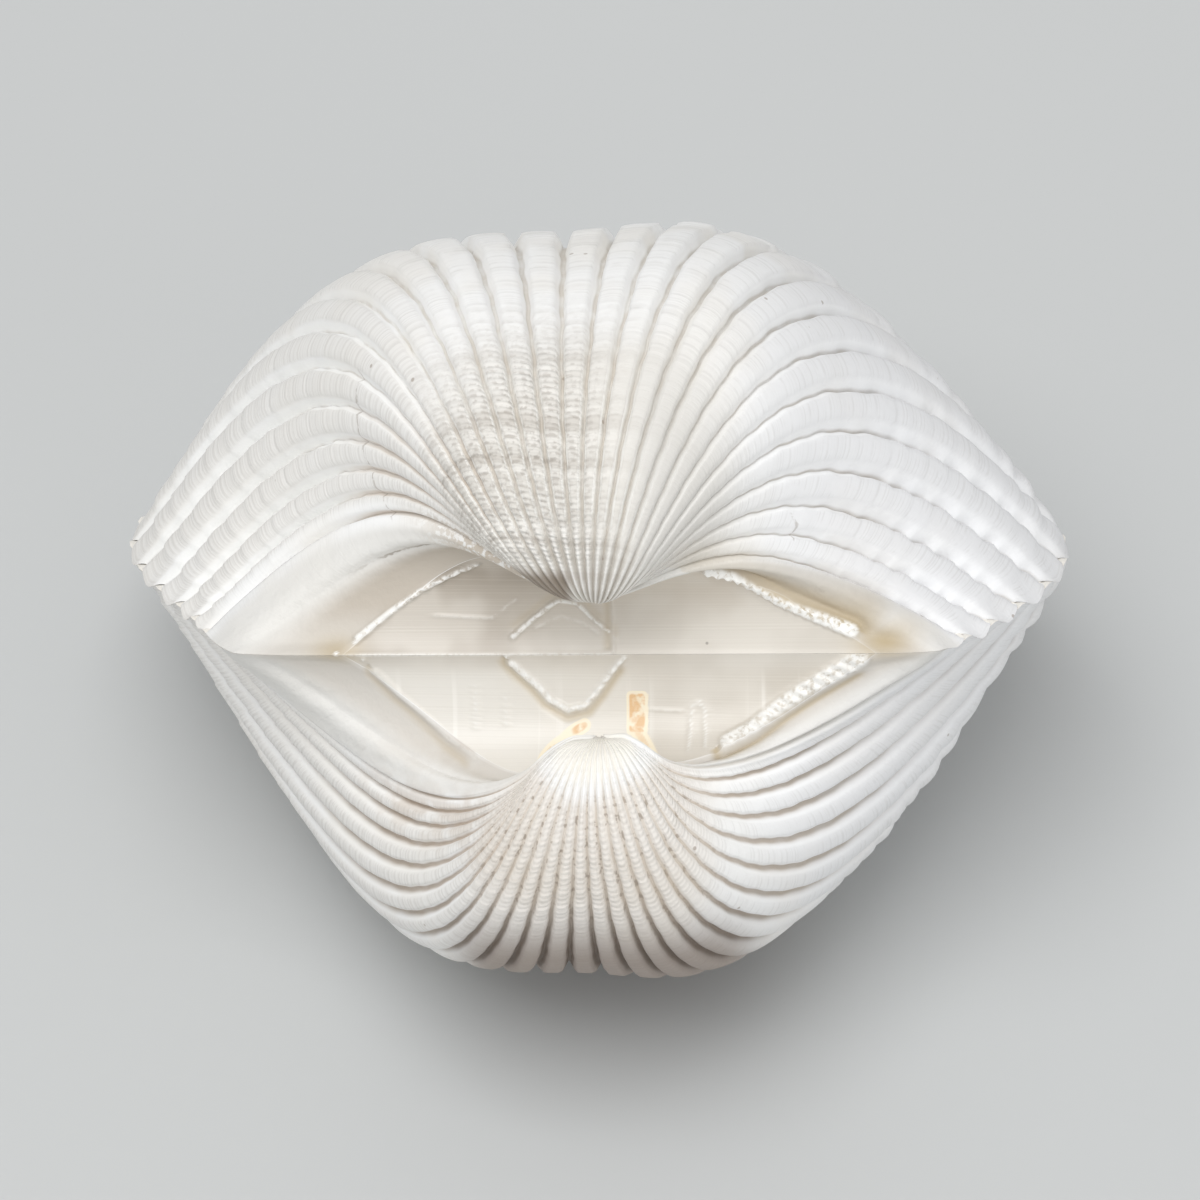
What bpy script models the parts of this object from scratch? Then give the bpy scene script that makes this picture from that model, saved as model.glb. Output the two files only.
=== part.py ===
"""Ark clam shell: a closed pair of strongly inflated, radially ribbed valves.

Each valve is one hollow bowl. Its outside is a coiled cone: the closed margin (a round lower rim
plus the straight hinge line) is turned about the beak and shrunk at the same time, as the animal
laid it down. Ribs follow single points of the margin, and the flat cardinal area under each beak
is the track of the hinge line. The lower valve is the upper one mirrored, with its ribs moved by
half a rib, so that the two toothed margins meet tooth to gap.
"""

import math

import bpy
import numpy as np
from mathutils import Matrix, Vector

MM = 0.001

# Margin, in the plane where the valves meet. The origin is the middle of the hinge line, +X runs
# along the hinge and +Y from the hinge to the lower rim.
MARGIN_RADII = (25.0, 32.0, 43.0, 52.0, 59.0, 60.0, 63.0, 56.0, 39.0, 31.0)  # every 20 degrees
HINGE_RIGHT = MARGIN_RADII[0]
HINGE_LEFT = -MARGIN_RADII[-1]
AREA_RIGHT = 20.0       # outer corners of the flat cardinal area, on the hinge line
AREA_LEFT = -22.0

# Coiling of the margin about the beak.
BEAK = np.array([-1.3, -4.8, 6.2])          # tip of the upper beak
COIL_AXIS = np.array([1.0, -0.02, -0.04])   # nearly along the hinge
COIL_END = 3.7                              # radians turned when the margin has shrunk to nothing
TIGHTNESS = (0.57, 0.12, -0.13, 0.07)       # shrinking per radian: mean, then cosines round the rim

# Ribs.
RIBS = 26
RIB_SPREAD = (0.22, -0.13)   # how the ribs crowd towards one end and towards the middle
FIRST_RIB_AT = 0.94          # share of the rim, from the right hinge end, where rib 0 begins
GROOVE_DEPTH = 1.3           # at the margin; it fades as the valve gets smaller
GROOVE_FADE = 0.8
GROOVE_HALF = 0.18           # half width of a groove, as a share of a rib
LOWER_SHIFT = 0.5            # the lower valve's ribs, moved by half a rib

# Wall.
WALL_RIM = 4.2               # measured in the plane of the margin, towards CAVITY_CENTRE
WALL_SIDES = 2.2             # added at the two ends, where the wall leans most
WALL_HINGE = 5.0             # square to the hinge line
WALL_FADE = 0.75             # how the wall thins towards the beak, as a power of the scale
CAVITY_CENTRE = np.array([-4.0, 27.0, 0.0])
CAVITY_LEAST = 0.12          # what is left of the cavity's width where the wall would fill it
CAVITY_END = 2.05            # radians turned where the inside of the beak is filled up
GAP = 0.3                    # between the two valves

# How the closed pair lies on its lower valve.
LEAN = 32.2                  # degrees that the hinge side is up
ROLL = -2.7                  # degrees that the right end is up
FOOT_DEPTH = 0.6             # rib tops this close to the ground are brought down to it, as flat feet

OUTER_ROWS = 18
ROW_SPREAD = 0.85            # below 1 the rows are wider apart at the margin
INNER_ROWS = 6


def margin_radius(angle):
    """Natural cubic spline through MARGIN_RADII, as a function of the angle in radians."""
    radii = np.array(MARGIN_RADII)
    count = len(radii)
    step = math.pi / (count - 1)
    system = np.eye(count)
    right = np.zeros(count)
    for i in range(1, count - 1):
        system[i, i - 1:i + 2] = (1.0, 4.0, 1.0)
        right[i] = 6.0 * (radii[i + 1] - 2.0 * radii[i] + radii[i - 1]) / step ** 2
    bend = np.linalg.solve(system, right)
    low = np.clip((angle / step).astype(int), 0, count - 2)
    b = angle / step - low
    a = 1.0 - b
    curve = ((a ** 3 - a) * bend[low] + (b ** 3 - b) * bend[low + 1]) * step ** 2 / 6.0
    return a * radii[low] + b * radii[low + 1] + curve


def rim_share(rib):
    """Share of the rim, from the right hinge end, at which a rib coordinate lies."""
    t = 1.0 - rib / RIBS
    skew, crowd = RIB_SPREAD
    return FIRST_RIB_AT * (t + skew * t * (1.0 - t) + crowd * t * (1.0 - t) * (1.0 - 2.0 * t))


def tightness(share):
    """Shrinking per radian, round the rim."""
    mean, first, second, third = TIGHTNESS
    turn = math.pi * share
    return mean + first * np.cos(turn) + second * np.cos(2 * turn) + third * np.cos(3 * turn)


def margin(shift):
    """The closed margin as columns: points, their tightness, and 1 where a groove is cut, else 0.

    Columns run from the left hinge end round the rim to the right one, and back along the hinge.
    Each groove has three: its two edges and its bottom.
    """
    bottoms = np.arange(RIBS) + shift - (shift > 0.0)
    ribs = bottoms[:, None] + GROOVE_HALF * np.array([-1.0, 0.0, 1.0])
    depth = np.tile([0.0, 1.0, 0.0], RIBS)
    smooth_end = (1.0 + FIRST_RIB_AT) / 2.0
    share = np.concatenate([[1.0, smooth_end], rim_share(ribs.ravel()), [0.0]])
    depth = np.concatenate([[0.0, 0.0], depth, [0.0]])
    angle = math.pi * share
    radius = margin_radius(angle)
    rim = np.stack([radius * np.cos(angle), radius * np.sin(angle), 0.0 * angle], axis=1)

    hinge_x = np.concatenate([
        np.linspace(HINGE_RIGHT, AREA_RIGHT, 2)[1:],
        np.linspace(AREA_RIGHT, AREA_LEFT, 7)[1:],
        np.linspace(AREA_LEFT, HINGE_LEFT, 3)[1:-1],
    ])
    along = (HINGE_RIGHT - hinge_x) / (HINGE_RIGHT - HINGE_LEFT)
    hinge = np.stack([hinge_x, 0.0 * hinge_x, 0.0 * hinge_x], axis=1)
    hinge_rate = tightness(np.zeros(1)) * (1.0 - along) + tightness(np.ones(1)) * along

    points = np.concatenate([rim, hinge])
    rates = np.concatenate([tightness(share), hinge_rate])
    depth = np.concatenate([depth, 0.0 * hinge_x])
    return points, rates, depth


def coil(points, rates, turns):
    """Turn points about the beak by each angle of turns, and shrink them towards it.

    A point P goes to beak + s * rotated(P - beak). The scale s falls as exp(-rate * turn), less
    what is left of it at COIL_END, so that every column ends in the beak.
    """
    axis = COIL_AXIS / np.linalg.norm(COIL_AXIS)
    offset = (points - BEAK)[:, None, :]
    left = np.exp(-rates * COIL_END)[:, None]
    scale = (np.exp(-rates[:, None] * turns) - left) / (1.0 - left)
    cos = np.cos(turns)[None, :, None]
    sin = np.sin(turns)[None, :, None]
    along = (offset * axis).sum(axis=2, keepdims=True)
    across = np.cross(np.broadcast_to(axis, offset.shape), offset)
    turned = offset * cos + across * sin + axis * along * (1.0 - cos)
    return BEAK + turned * scale[..., None], scale


def outward_normals(grid):
    """Unit normals of a grid closed in its first direction, from central differences."""
    round_step = np.roll(grid, -1, axis=0) - np.roll(grid, 1, axis=0)
    coil_step = np.gradient(grid, axis=1)
    normal = np.cross(coil_step, round_step)
    return normal / np.maximum(np.linalg.norm(normal, axis=2, keepdims=True), 1e-9)


def outer_wall(shift):
    """Outside of the upper valve, grooves cut, as a grid of columns by rows, and the beak left out."""
    points, rates, depth = margin(shift)
    turns = COIL_END * np.linspace(0.0, 1.0, OUTER_ROWS + 1)[:-1] ** ROW_SPREAD
    grid, scale = coil(points, rates, turns)
    normal = outward_normals(grid)
    normal[:, 0, 2] = 0.0    # at the margin a groove is cut level, so that the rim stays flat
    normal[:, 0] /= np.linalg.norm(normal[:, 0], axis=1, keepdims=True)
    cut = GROOVE_DEPTH * depth[:, None] * scale ** GROOVE_FADE
    grid = grid - normal * cut[..., None]
    grid[:, 0, 2] = GAP / 2.0
    return grid


def inner_wall(shift):
    """Inside of the upper valve: the margin drawn in by the wall, coiled as far as the cavity goes."""
    points, rates, _ = margin(shift)
    turns = CAVITY_END * np.linspace(0.0, 1.0, INNER_ROWS)
    _, scale = coil(points, rates, turns)
    reach = points - CAVITY_CENTRE
    length = np.linalg.norm(reach, axis=1)
    on_hinge = np.clip(1.0 - points[:, 1] / WALL_HINGE, 0.0, 1.0)
    sideways = np.abs(reach[:, 0]) / length
    wall_rim = WALL_RIM + WALL_SIDES * sideways ** 2
    wall_hinge = WALL_HINGE * length / CAVITY_CENTRE[1]
    wall = wall_rim * (1.0 - on_hinge) + wall_hinge * on_hinge
    walls = wall[:, None] / scale ** WALL_FADE
    width = np.maximum(1.0 - walls / length[:, None], CAVITY_LEAST)
    drawn_in = CAVITY_CENTRE + reach[:, None, :] * width[..., None]
    grid = np.stack(
        [coil(drawn_in[:, row], rates, turns[row:row + 1])[0][:, 0] for row in range(INNER_ROWS)],
        axis=1)
    grid[:, 0, 2] = GAP / 2.0
    return grid


def ring_faces(first, second, count):
    """Triangles between two rings of count vertices that begin at first and second."""
    faces = []
    for i in range(count):
        j = (i + 1) % count
        faces.append((first + i, second + j, second + i))
        faces.append((first + i, first + j, second + j))
    return faces


def valve_mesh(name, shift, lower):
    """One hollow valve as a closed mesh: outer wall, flat rim, inner wall, and two pointed ends."""
    outer = outer_wall(shift)
    inner = inner_wall(shift)
    count = outer.shape[0]
    rings = [outer[:, row] for row in range(outer.shape[1] - 1, -1, -1)]
    rings += [inner[:, row] for row in range(inner.shape[1])]
    vertices = np.concatenate(rings + [BEAK[None], inner[:, -1].mean(axis=0)[None]])
    faces = []
    for ring in range(len(rings) - 1):
        faces += ring_faces(ring * count, (ring + 1) * count, count)
    tip = len(vertices) - 2
    cavity = len(vertices) - 1
    last = (len(rings) - 1) * count
    for i in range(count):
        j = (i + 1) % count
        faces.append((tip, j, i))
        faces.append((cavity, last + i, last + j))
    if lower:
        vertices = vertices * np.array([1.0, 1.0, -1.0])
        faces = [face[::-1] for face in faces]
    mesh = bpy.data.meshes.new(name)
    mesh.from_pydata((vertices * MM).tolist(), [], faces)
    mesh.validate()
    return mesh


def shell_material(name, colour, roughness):
    """Chalky white aragonite."""
    material = bpy.data.materials.new(name)
    material.use_nodes = True
    shader = material.node_tree.nodes["Principled BSDF"]
    shader.inputs["Base Color"].default_value = (*colour, 1.0)
    shader.inputs["Roughness"].default_value = roughness
    shader.inputs["Metallic"].default_value = 0.0
    return material


def add_valve(name, shift, lower, material, placement):
    """Make a valve, put it where it lies, and shade it."""
    mesh = valve_mesh(name, shift, lower)
    mesh.transform(placement)
    mesh.shade_smooth()
    mesh.set_sharp_from_angle(angle=math.radians(35.0))
    mesh.materials.append(material)
    valve = bpy.data.objects.new(name, mesh)
    bpy.context.collection.objects.link(valve)
    return valve


def main():
    """Build the closed pair, lying on its lower valve, over the origin."""
    for old in list(bpy.data.objects):
        bpy.data.objects.remove(old, do_unlink=True)
    lying = Matrix.Rotation(math.radians(ROLL), 4, "Y") @ Matrix.Rotation(math.radians(-LEAN), 4, "X")
    upper = add_valve("upper_valve", 0.0, False,
                      shell_material("chalky_shell_upper", (0.80, 0.78, 0.73), 0.55), lying)
    lower = add_valve("lower_valve", LOWER_SHIFT, True,
                      shell_material("chalky_shell_lower", (0.78, 0.75, 0.69), 0.55), lying)
    corners = np.array([vertex.co[:] for valve in (upper, lower) for vertex in valve.data.vertices])
    low = corners.min(axis=0)
    high = corners.max(axis=0)
    to_floor = Vector((-(low[0] + high[0]) / 2.0, -(low[1] + high[1]) / 2.0, -low[2]))
    for valve in (upper, lower):
        valve.data.transform(Matrix.Translation(to_floor))
    for vertex in lower.data.vertices:
        if vertex.co.z < FOOT_DEPTH * MM:
            vertex.co.z = 0.0


main()
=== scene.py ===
# %% [markdown]
# # An ark clam shell, closed
# An ark clam is a thick, strongly inflated bivalve. Its two valves meet along a straight hinge, and
# each one carries about 26 flat-topped ribs that run from the beak to a toothed margin. This one
# lies on its lower valve, leaning back, so that the hinge side faces the viewer.
#
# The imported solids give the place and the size. They are coarse, so each valve is made again here
# as one fine mesh of the same growth surface, and it stands for its solid.

# %% Load the frame
import math

import bpy
import numpy as np
from mathutils import Matrix, Vector


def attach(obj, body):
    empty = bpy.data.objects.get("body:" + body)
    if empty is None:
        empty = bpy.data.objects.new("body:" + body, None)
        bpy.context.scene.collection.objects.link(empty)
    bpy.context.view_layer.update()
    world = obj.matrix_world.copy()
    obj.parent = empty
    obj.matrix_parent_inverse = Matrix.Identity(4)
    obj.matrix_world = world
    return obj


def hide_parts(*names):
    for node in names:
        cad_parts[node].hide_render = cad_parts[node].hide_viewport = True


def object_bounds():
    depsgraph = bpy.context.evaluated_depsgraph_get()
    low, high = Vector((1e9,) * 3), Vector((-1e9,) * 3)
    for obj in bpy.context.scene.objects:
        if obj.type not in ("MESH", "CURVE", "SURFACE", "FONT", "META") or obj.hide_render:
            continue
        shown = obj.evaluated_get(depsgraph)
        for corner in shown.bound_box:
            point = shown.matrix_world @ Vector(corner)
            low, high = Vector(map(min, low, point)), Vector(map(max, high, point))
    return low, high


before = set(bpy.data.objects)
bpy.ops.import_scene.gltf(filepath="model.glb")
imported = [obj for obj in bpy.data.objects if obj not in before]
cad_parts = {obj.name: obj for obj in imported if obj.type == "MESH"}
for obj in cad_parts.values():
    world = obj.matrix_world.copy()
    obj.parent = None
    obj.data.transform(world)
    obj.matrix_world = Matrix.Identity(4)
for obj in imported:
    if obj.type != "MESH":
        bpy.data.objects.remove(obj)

cad_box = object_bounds()
CAD_LOW = np.array(cad_box[0]) * 1000.0
CAD_HIGH = np.array(cad_box[1]) * 1000.0
print("CAD box in mm:", CAD_LOW.round(1), CAD_HIGH.round(1))

# %% [markdown]
# ## The margin
# Everything on a bivalve comes from its margin, the edge where the two valves meet. Here the
# margin is a round rim and a straight hinge line. The rim could be drawn as a Bezier curve, but a
# spline of ten radii, one every 20 degrees, is easier to read and to change.
#
# Lengths are in millimetres until the mesh is made. The origin is the middle of the hinge line, +X
# runs along the hinge, +Y from the hinge to the far rim, and +Z up through the upper valve.

# %% The margin's rim
# From the middle of the hinge line, in mm, beginning at its right end.
MARGIN_RADII = np.array([25.0, 32.0, 43.0, 52.0, 59.0, 60.0, 63.0, 56.0, 39.0, 31.0])
HINGE_RIGHT = 25.0       # X of the hinge line's right end
HINGE_LEFT = -31.0       # and of its left end
RIBS = 26
RIB_SPREAD = (0.22, -0.13)   # how the ribs crowd towards one end and towards the middle
FIRST_RIB_AT = 0.94          # share of the rim, from the right hinge end, where rib 0 begins


def smooth(low, high, x):
    """Ease from 0 at low to 1 at high: 3t^2 - 2t^3."""
    t = np.clip((x - low) / (high - low), 0.0, 1.0)
    return t * t * (3.0 - 2.0 * t)


def spline_bends(radii, step):
    """Second derivatives of the natural cubic spline through evenly spaced values."""
    count = len(radii)
    system = np.eye(count)
    inner = np.arange(1, count - 1)
    system[inner, inner - 1] = 1.0
    system[inner, inner] = 4.0
    system[inner, inner + 1] = 1.0
    right = np.zeros(count)
    right[inner] = 6.0 * (radii[inner + 1] - 2.0 * radii[inner] + radii[inner - 1]) / step ** 2
    return np.linalg.solve(system, right)


RIM_STEP = math.pi / (len(MARGIN_RADII) - 1)
RIM_BENDS = spline_bends(MARGIN_RADII, RIM_STEP)


def rim_point(share):
    """Point of the rim at a share of its half turn, 0 at the right hinge end and 1 at the left."""
    angle = math.pi * share
    low = np.clip((angle / RIM_STEP).astype(int), 0, len(MARGIN_RADII) - 2)
    b = angle / RIM_STEP - low
    a = 1.0 - b
    bend = (a ** 3 - a) * RIM_BENDS[low] + (b ** 3 - b) * RIM_BENDS[low + 1]
    radius = a * MARGIN_RADII[low] + b * MARGIN_RADII[low + 1] + bend * RIM_STEP ** 2 / 6.0
    return np.stack([radius * np.cos(angle), radius * np.sin(angle), 0.0 * angle], axis=-1)


def rim_share(rib):
    """Share of the rim at which a rib coordinate lies; grooves are at whole numbers."""
    t = 1.0 - rib / RIBS
    skew, crowd = RIB_SPREAD
    return FIRST_RIB_AT * (t + skew * t * (1.0 - t) + crowd * t * (1.0 - t) * (1.0 - 2.0 * t))


middle = rim_point(np.array([0.5]))[0]
print("the rim's lowest point is about", middle.round(1), "mm from the hinge")

# %% [markdown]
# ## Coiling
# A valve grows only at its margin, a little every day and more on one side than on the other, so
# it coils. Run backwards, that is one rule: turn the margin about the beak and shrink it at the
# same time. A lathe or a Screw modifier turns without shrinking, which is why the surface is
# worked out here as a formula.

# %% The growth rule
BEAK = np.array([-1.3, -4.8, 6.2])          # tip of the upper beak
COIL_AXIS = np.array([1.0, -0.02, -0.04])   # nearly along the hinge
COIL_END = 3.7                              # radians turned when the margin has shrunk to nothing
TIGHTNESS = (0.57, 0.12, -0.13, 0.07)       # shrinking per radian: mean, then cosines


def tightness(share):
    """Shrinking per radian round the rim: a mean and three cosines."""
    mean, first, second, third = TIGHTNESS
    turn = math.pi * share
    return mean + first * np.cos(turn) + second * np.cos(2 * turn) + third * np.cos(3 * turn)


def coil(points, rates, turns):
    """Beak + s * rotated(point - beak); s is exp(-rate * turn), less what is left at COIL_END."""
    axis = COIL_AXIS / np.linalg.norm(COIL_AXIS)
    offset = points - BEAK
    left = np.exp(-rates * COIL_END)
    scale = (np.exp(-rates * turns) - left) / (1.0 - left)
    cos = np.cos(turns)[..., None]
    sin = np.sin(turns)[..., None]
    along = (offset * axis).sum(axis=-1, keepdims=True)
    across = np.cross(np.broadcast_to(axis, offset.shape), offset)
    turned = offset * cos + across * sin + axis * along * (1.0 - cos)
    return BEAK + turned * scale[..., None], scale


print("shrinking per radian at the hinge ends:", tightness(np.array([0.0, 1.0])).round(2))

# %% [markdown]
# ## Where the grid lines go
# The surface is a grid. Its columns run from the margin to the beak, as the ribs do, and its rows
# are growth lines. A grid with even spacing would need millions of faces, so the lines stand close
# only where the shell has fine relief: at the grooves, round the hinge's scars, at growth stops
# and on the umbo, the swollen part by the beak.

# %% Columns round the margin
AREA_RIGHT = 20.0     # outer corners of the flat cardinal area, on the hinge line
AREA_LEFT = -22.0
# Columns within a rib, from its groove to the next, and runs of columns on the hinge line.
IN_A_RIB = np.array([0.0, 0.05, 0.11, 0.18, 0.27, 0.40, 0.54, 0.68, 0.80, 0.89, 0.95])
HINGE_RUNS = ((25.0, 20.9, 0.5), (20.9, 16.8, 0.21), (16.8, 5.0, 0.5), (5.0, 2.6, 0.4),
              (2.6, -9.9, 0.17), (-9.9, -19.6, 0.5), (-19.6, -23.6, 0.22), (-23.6, -31.0, 0.75))
NO_RIB = -9.0         # rib coordinate of the columns that aren't on ribs


def spread(*runs):
    """Values along runs of (from, to, step), each run without its last value."""
    parts = [np.linspace(a, b, max(int(round(abs(b - a) / step)), 1), endpoint=False)
             for a, b, step in runs]
    return np.concatenate(parts)


def columns(shift):
    """Columns in order: left hinge end, round the rim to the right end, and back on the hinge.

    Gives the rib coordinate (NO_RIB off the ribs), the share of the rim (-1 on the hinge) and the
    place along the hinge (0 on the rim).
    """
    first = -1 if shift > 0.0 else 0
    ribs = ((np.arange(first, RIBS) + shift)[:, None] + IN_A_RIB).ravel()
    ribs = ribs[ribs < RIBS]
    end_share = rim_share(ribs[:1])[0]
    bare = np.linspace(1.0, end_share, 20, endpoint=False)
    hinge = spread(*HINGE_RUNS)
    rib = np.concatenate([np.full(bare.shape, NO_RIB), ribs, np.full(hinge.shape, NO_RIB)])
    share = np.concatenate([bare, rim_share(ribs), np.full(hinge.shape, -1.0)])
    along = np.concatenate([np.zeros(len(bare) + len(ribs)), hinge])
    on_hinge = share < 0.0
    return rib, np.where(on_hinge, 0.0, share), along, on_hinge


print("columns:", len(columns(0.0)[0]))

# %% [markdown]
# Growth isn't steady. It stops now and then, in winter or after a storm, and each stop leaves an
# edge right round the valve. The stops' places are drawn at random from a fixed seed, so that every
# run makes the same shell. Two rows stand close together at each, to make the edge crisp.

# %% Rows from the margin to the beak
rng = np.random.default_rng(26)
STOPS = np.cumsum(rng.uniform(0.055, 0.115, 12))   # turns at which growth stopped for a while
STOP_HEIGHTS = rng.uniform(0.55, 1.0, 12)          # how strong each one is
STOP_EDGE = 0.004        # turns from a stop to the rows beside it
# Runs of rows: from turn, to turn, step.
ROW_RUNS = ((0.0, 1.25, 0.0165), (1.25, 2.5, 0.021), (2.5, 3.2, 0.04), (3.2, COIL_END, 0.07))


def row_turns():
    """Turns of the rows: even steps within each run, and a close pair at each growth stop."""
    even = spread(*ROW_RUNS)
    near = np.abs(even[:, None] - STOPS).min(axis=1)
    kept = even[(near > 2.0 * STOP_EDGE) | (even == 0.0)]
    return np.sort(np.concatenate([kept, STOPS - STOP_EDGE, STOPS + STOP_EDGE]))


turns = row_turns()
print("rows:", len(turns), " growth stops:", len(STOPS))

# %% [markdown]
# ## Relief
# Relief is how far the surface stands out from the smooth growth surface, worked out for the whole
# grid at once. The ribs come first. Their tops lie on the growth surface and the grooves are cut
# into it. In the middle of the valve a groove is narrow with even walls. On the flanks the wall
# that faces the hinge is broad and smooth, and the other one is steep.

# %% Grooves between the ribs
FLOOR_UPPER = 0.05       # half width of a groove's flat floor in the middle of the upper valve
FLOOR_LOWER = 0.06       # the same for the lower valve, whose grooves are wider; both in ribs
WALL_UPPER = 0.15        # width of a groove's wall there, on the upper valve
WALL_LOWER = 0.21        # and on the lower one
WALL_UMBO = 0.40         # the same by the tips of the beaks, where the ribs are round
WALL_BROAD = 0.36        # width of the walls that face the hinge on the flanks
WALL_STEEP = 0.15        # width of the walls that face away from it
LEFT_FLANK = (4.0, 11.0)     # ribs between which the left flank ends
RIGHT_FLANK = (15.0, 21.0)   # and between which the right one begins
UMBO_TURNS = (1.7, 2.6)      # turns over which a groove gets its width by the beaks


def flanks(rib):
    """How much a rib lies on the left flank and on the right one, each from 0 to 1."""
    return 1.0 - smooth(*LEFT_FLANK, rib), smooth(*RIGHT_FLANK, rib)


def groove_profile(rib, shift, rows):
    """0 on a rib's top, 1 at a groove's bottom, with a quarter of a sine for the wall."""
    place = rib - shift
    nearest = np.round(place)
    away = place - nearest
    left, right = flanks(rib)
    young = WALL_LOWER if shift > 0.0 else WALL_UPPER
    middle = young + (WALL_UMBO - young) * smooth(*UMBO_TURNS, rows)
    after = middle + left * (WALL_BROAD - middle) + right * (WALL_STEEP - middle)
    before = middle + right * (WALL_BROAD - middle) + left * (WALL_STEEP - middle)
    wall = np.where(away > 0.0, after, before)
    floor = FLOOR_LOWER if shift > 0.0 else FLOOR_UPPER * (1.0 - 0.8 * np.maximum(left, right))
    cut = 1.0 - np.sin(0.5 * math.pi * np.clip((np.abs(away) - floor) / wall, 0.0, 1.0))
    is_groove = (nearest >= (-1.0 if shift > 0.0 else 0.0)) & (nearest < RIBS)
    return cut * is_groove


print("a groove's wall is", WALL_UPPER, "ribs wide, and by the beak", WALL_UMBO)

# %% [markdown]
# A groove has its full depth in the middle of a valve. Towards the beak it gets shallower with the
# shell's own size. On the flanks the ribs are lower, most of all at the upper valve's margin. A
# rib's top is slightly rounded, which gives each one its own soft shading.

# %% Depth of the grooves and roundness of the ribs
GROOVE_DEPTH = 2.0       # mm
GROOVE_FADE = 0.85       # power of the scale with which a groove gets shallower
FLANK_DEPTH = 0.8        # share of the depth on the flanks
FLANK_OLD = 0.45         # share of the depth that the older part of a flank has lost to wear
MARGIN_UPPER = 0.15      # share of the depth that is left at the margin of the upper valve's flanks
MARGIN_LOWER = 0.90      # and of the lower one's
LOWER_RIGHT = 0.28       # share of the depth that the lower valve's right flank lacks
CROWN = 0.34             # how much a rib's middle stands above its edges, in mm


def groove_depth(rib, rows, scale, lower):
    """Depth in mm: less for older shell, and less near the margin of the flanks."""
    left, right = flanks(rib)
    at_margin = MARGIN_LOWER if lower else MARGIN_UPPER
    kept = smooth(-0.1, 0.30 + 0.25 * left, rows) * (1.0 - at_margin) + at_margin
    kept = kept * (1.0 - FLANK_OLD * smooth(0.45, 1.2, rows))
    kept = kept * (1.0 - LOWER_RIGHT * right * lower)
    flank = np.maximum(left, right)
    return GROOVE_DEPTH * scale ** GROOVE_FADE * (kept * flank * FLANK_DEPTH + 1.0 - flank)


def rib_crown(rib, shift):
    """Minus the square of the distance from a rib's middle: -1 at its edges. It dies out on the
    last rib, where the hinge begins."""
    place = rib - shift
    away = 0.5 - np.abs(place - np.round(place))
    return -(away / 0.5) ** 2 * (rib >= 0.0) * smooth(RIBS, RIBS - 1.2, rib)


rib_width = np.linalg.norm(rim_point(rim_share(np.array([13.0])))
                           - rim_point(rim_share(np.array([14.0]))))
print("a rib in the middle is", round(float(rib_width), 1), "mm wide at the margin")

# %% [markdown]
# At each growth stop the newer shell starts a little under the older edge, so that a rib goes down
# in steps towards the margin: a sawtooth along the rows. On the right flank, near the margin, the
# shell bulged between two stops instead, which is half a sine and gives the outline its scallops.
# A weaker waviness, the same right round the valve, keeps the rest from looking machined.

# %% Growth steps and waves
ARCH = 0.46              # height of an arch on the right flank, in mm
ARCH_WIDTH = 0.85        # its width, in ribs
ARCH_UPPER = (20.0, -1.5, -9.0)   # rib on which the arches stand: at the margin, and its change
ARCH_LOWER = (21.1, -0.5, -2.9)   # with the turn and with its square
STEP_LEFT = 0.13         # height of a step on the left flank, in mm
STEP_MIDDLE = 0.05       # and in the middle
WAVE = 0.045             # height of the waves, in mm
WAVE_KNOTS = rng.uniform(-1.0, 1.0, 74)   # heights between which the waves run
OLD_LINES = ((1.855, 0.06), (1.93, 0.15), (2.03, 0.08), (2.13, 0.09), (2.24, 0.07), (2.36, 0.07),
             (2.49, 0.05))   # turns and heights, in mm
OLD_LINE_WIDTH = 0.017   # in turns


def bump(x, centre, width):
    """Gaussian bell, 1 at the centre."""
    return np.exp(-((x - centre) / width) ** 2)


def step_phase(turn):
    """Sawtooth: 0 just below a growth stop, rising to 1 at the next stop towards the margin."""
    edges = np.concatenate([[0.0], STOPS])
    above = np.clip(np.searchsorted(edges, turn, side="right"), 1, len(edges) - 1)
    phase = (edges[above] - turn) / (edges[above] - edges[above - 1])
    strength = np.concatenate([[1.0], STOP_HEIGHTS])[above - 1]
    return np.clip(phase, 0.0, 1.0) * (turn < edges[-1]), strength


def growth_steps(rib, rows, scale, on_ribs, lower):
    """Height of the steps, the waves and a few older lines, in mm."""
    left, _ = flanks(rib)
    phase, strength = step_phase(rows)
    step = STEP_MIDDLE * smooth(1.2, 0.5, rows) + left * STEP_LEFT * smooth(0.80, 0.25, rows)
    at_margin, first, second = ARCH_LOWER if lower else ARCH_UPPER
    arched_rib = at_margin + first * rows + second * rows ** 2
    arch = ARCH * bump(rib, arched_rib, ARCH_WIDTH) * smooth(1.0, 0.7, rows)
    steps = strength * (step * phase ** 1.5 + arch * np.sin(math.pi * phase))
    knots = np.linspace(0.0, COIL_END, len(WAVE_KNOTS))
    waves = WAVE * np.interp(rows, knots, WAVE_KNOTS) * scale
    lines = sum(height * bump(rows, at, OLD_LINE_WIDTH) for at, height in OLD_LINES)
    lines = lines * smooth(4.0, 6.5, rib) * smooth(16.0, 12.0, rib)
    return (steps * scale ** 0.5 + waves + lines) * on_ribs


print("arches are", ARCH, "mm high, waves", WAVE, "mm")

# %% [markdown]
# The margin is toothed: where one valve has a rib, the other has a groove, so the edges lock like
# two combs. A cosine along the margin does it, and it dies out a few millimetres up the valve.

# %% Teeth of the margin
TOOTH = 0.4              # how far a tooth reaches past the plane where the valves meet
TOOTH_FADE = 2.2         # mm over which it dies out up the valve


def tooth_height(rib, on_ribs):
    """Cosine along the margin: up at the upper valve's grooves, down at its ribs' middles."""
    return TOOTH * np.cos(math.tau * rib) * on_ribs


print("teeth reach", TOOTH, "mm past the middle plane")

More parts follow.
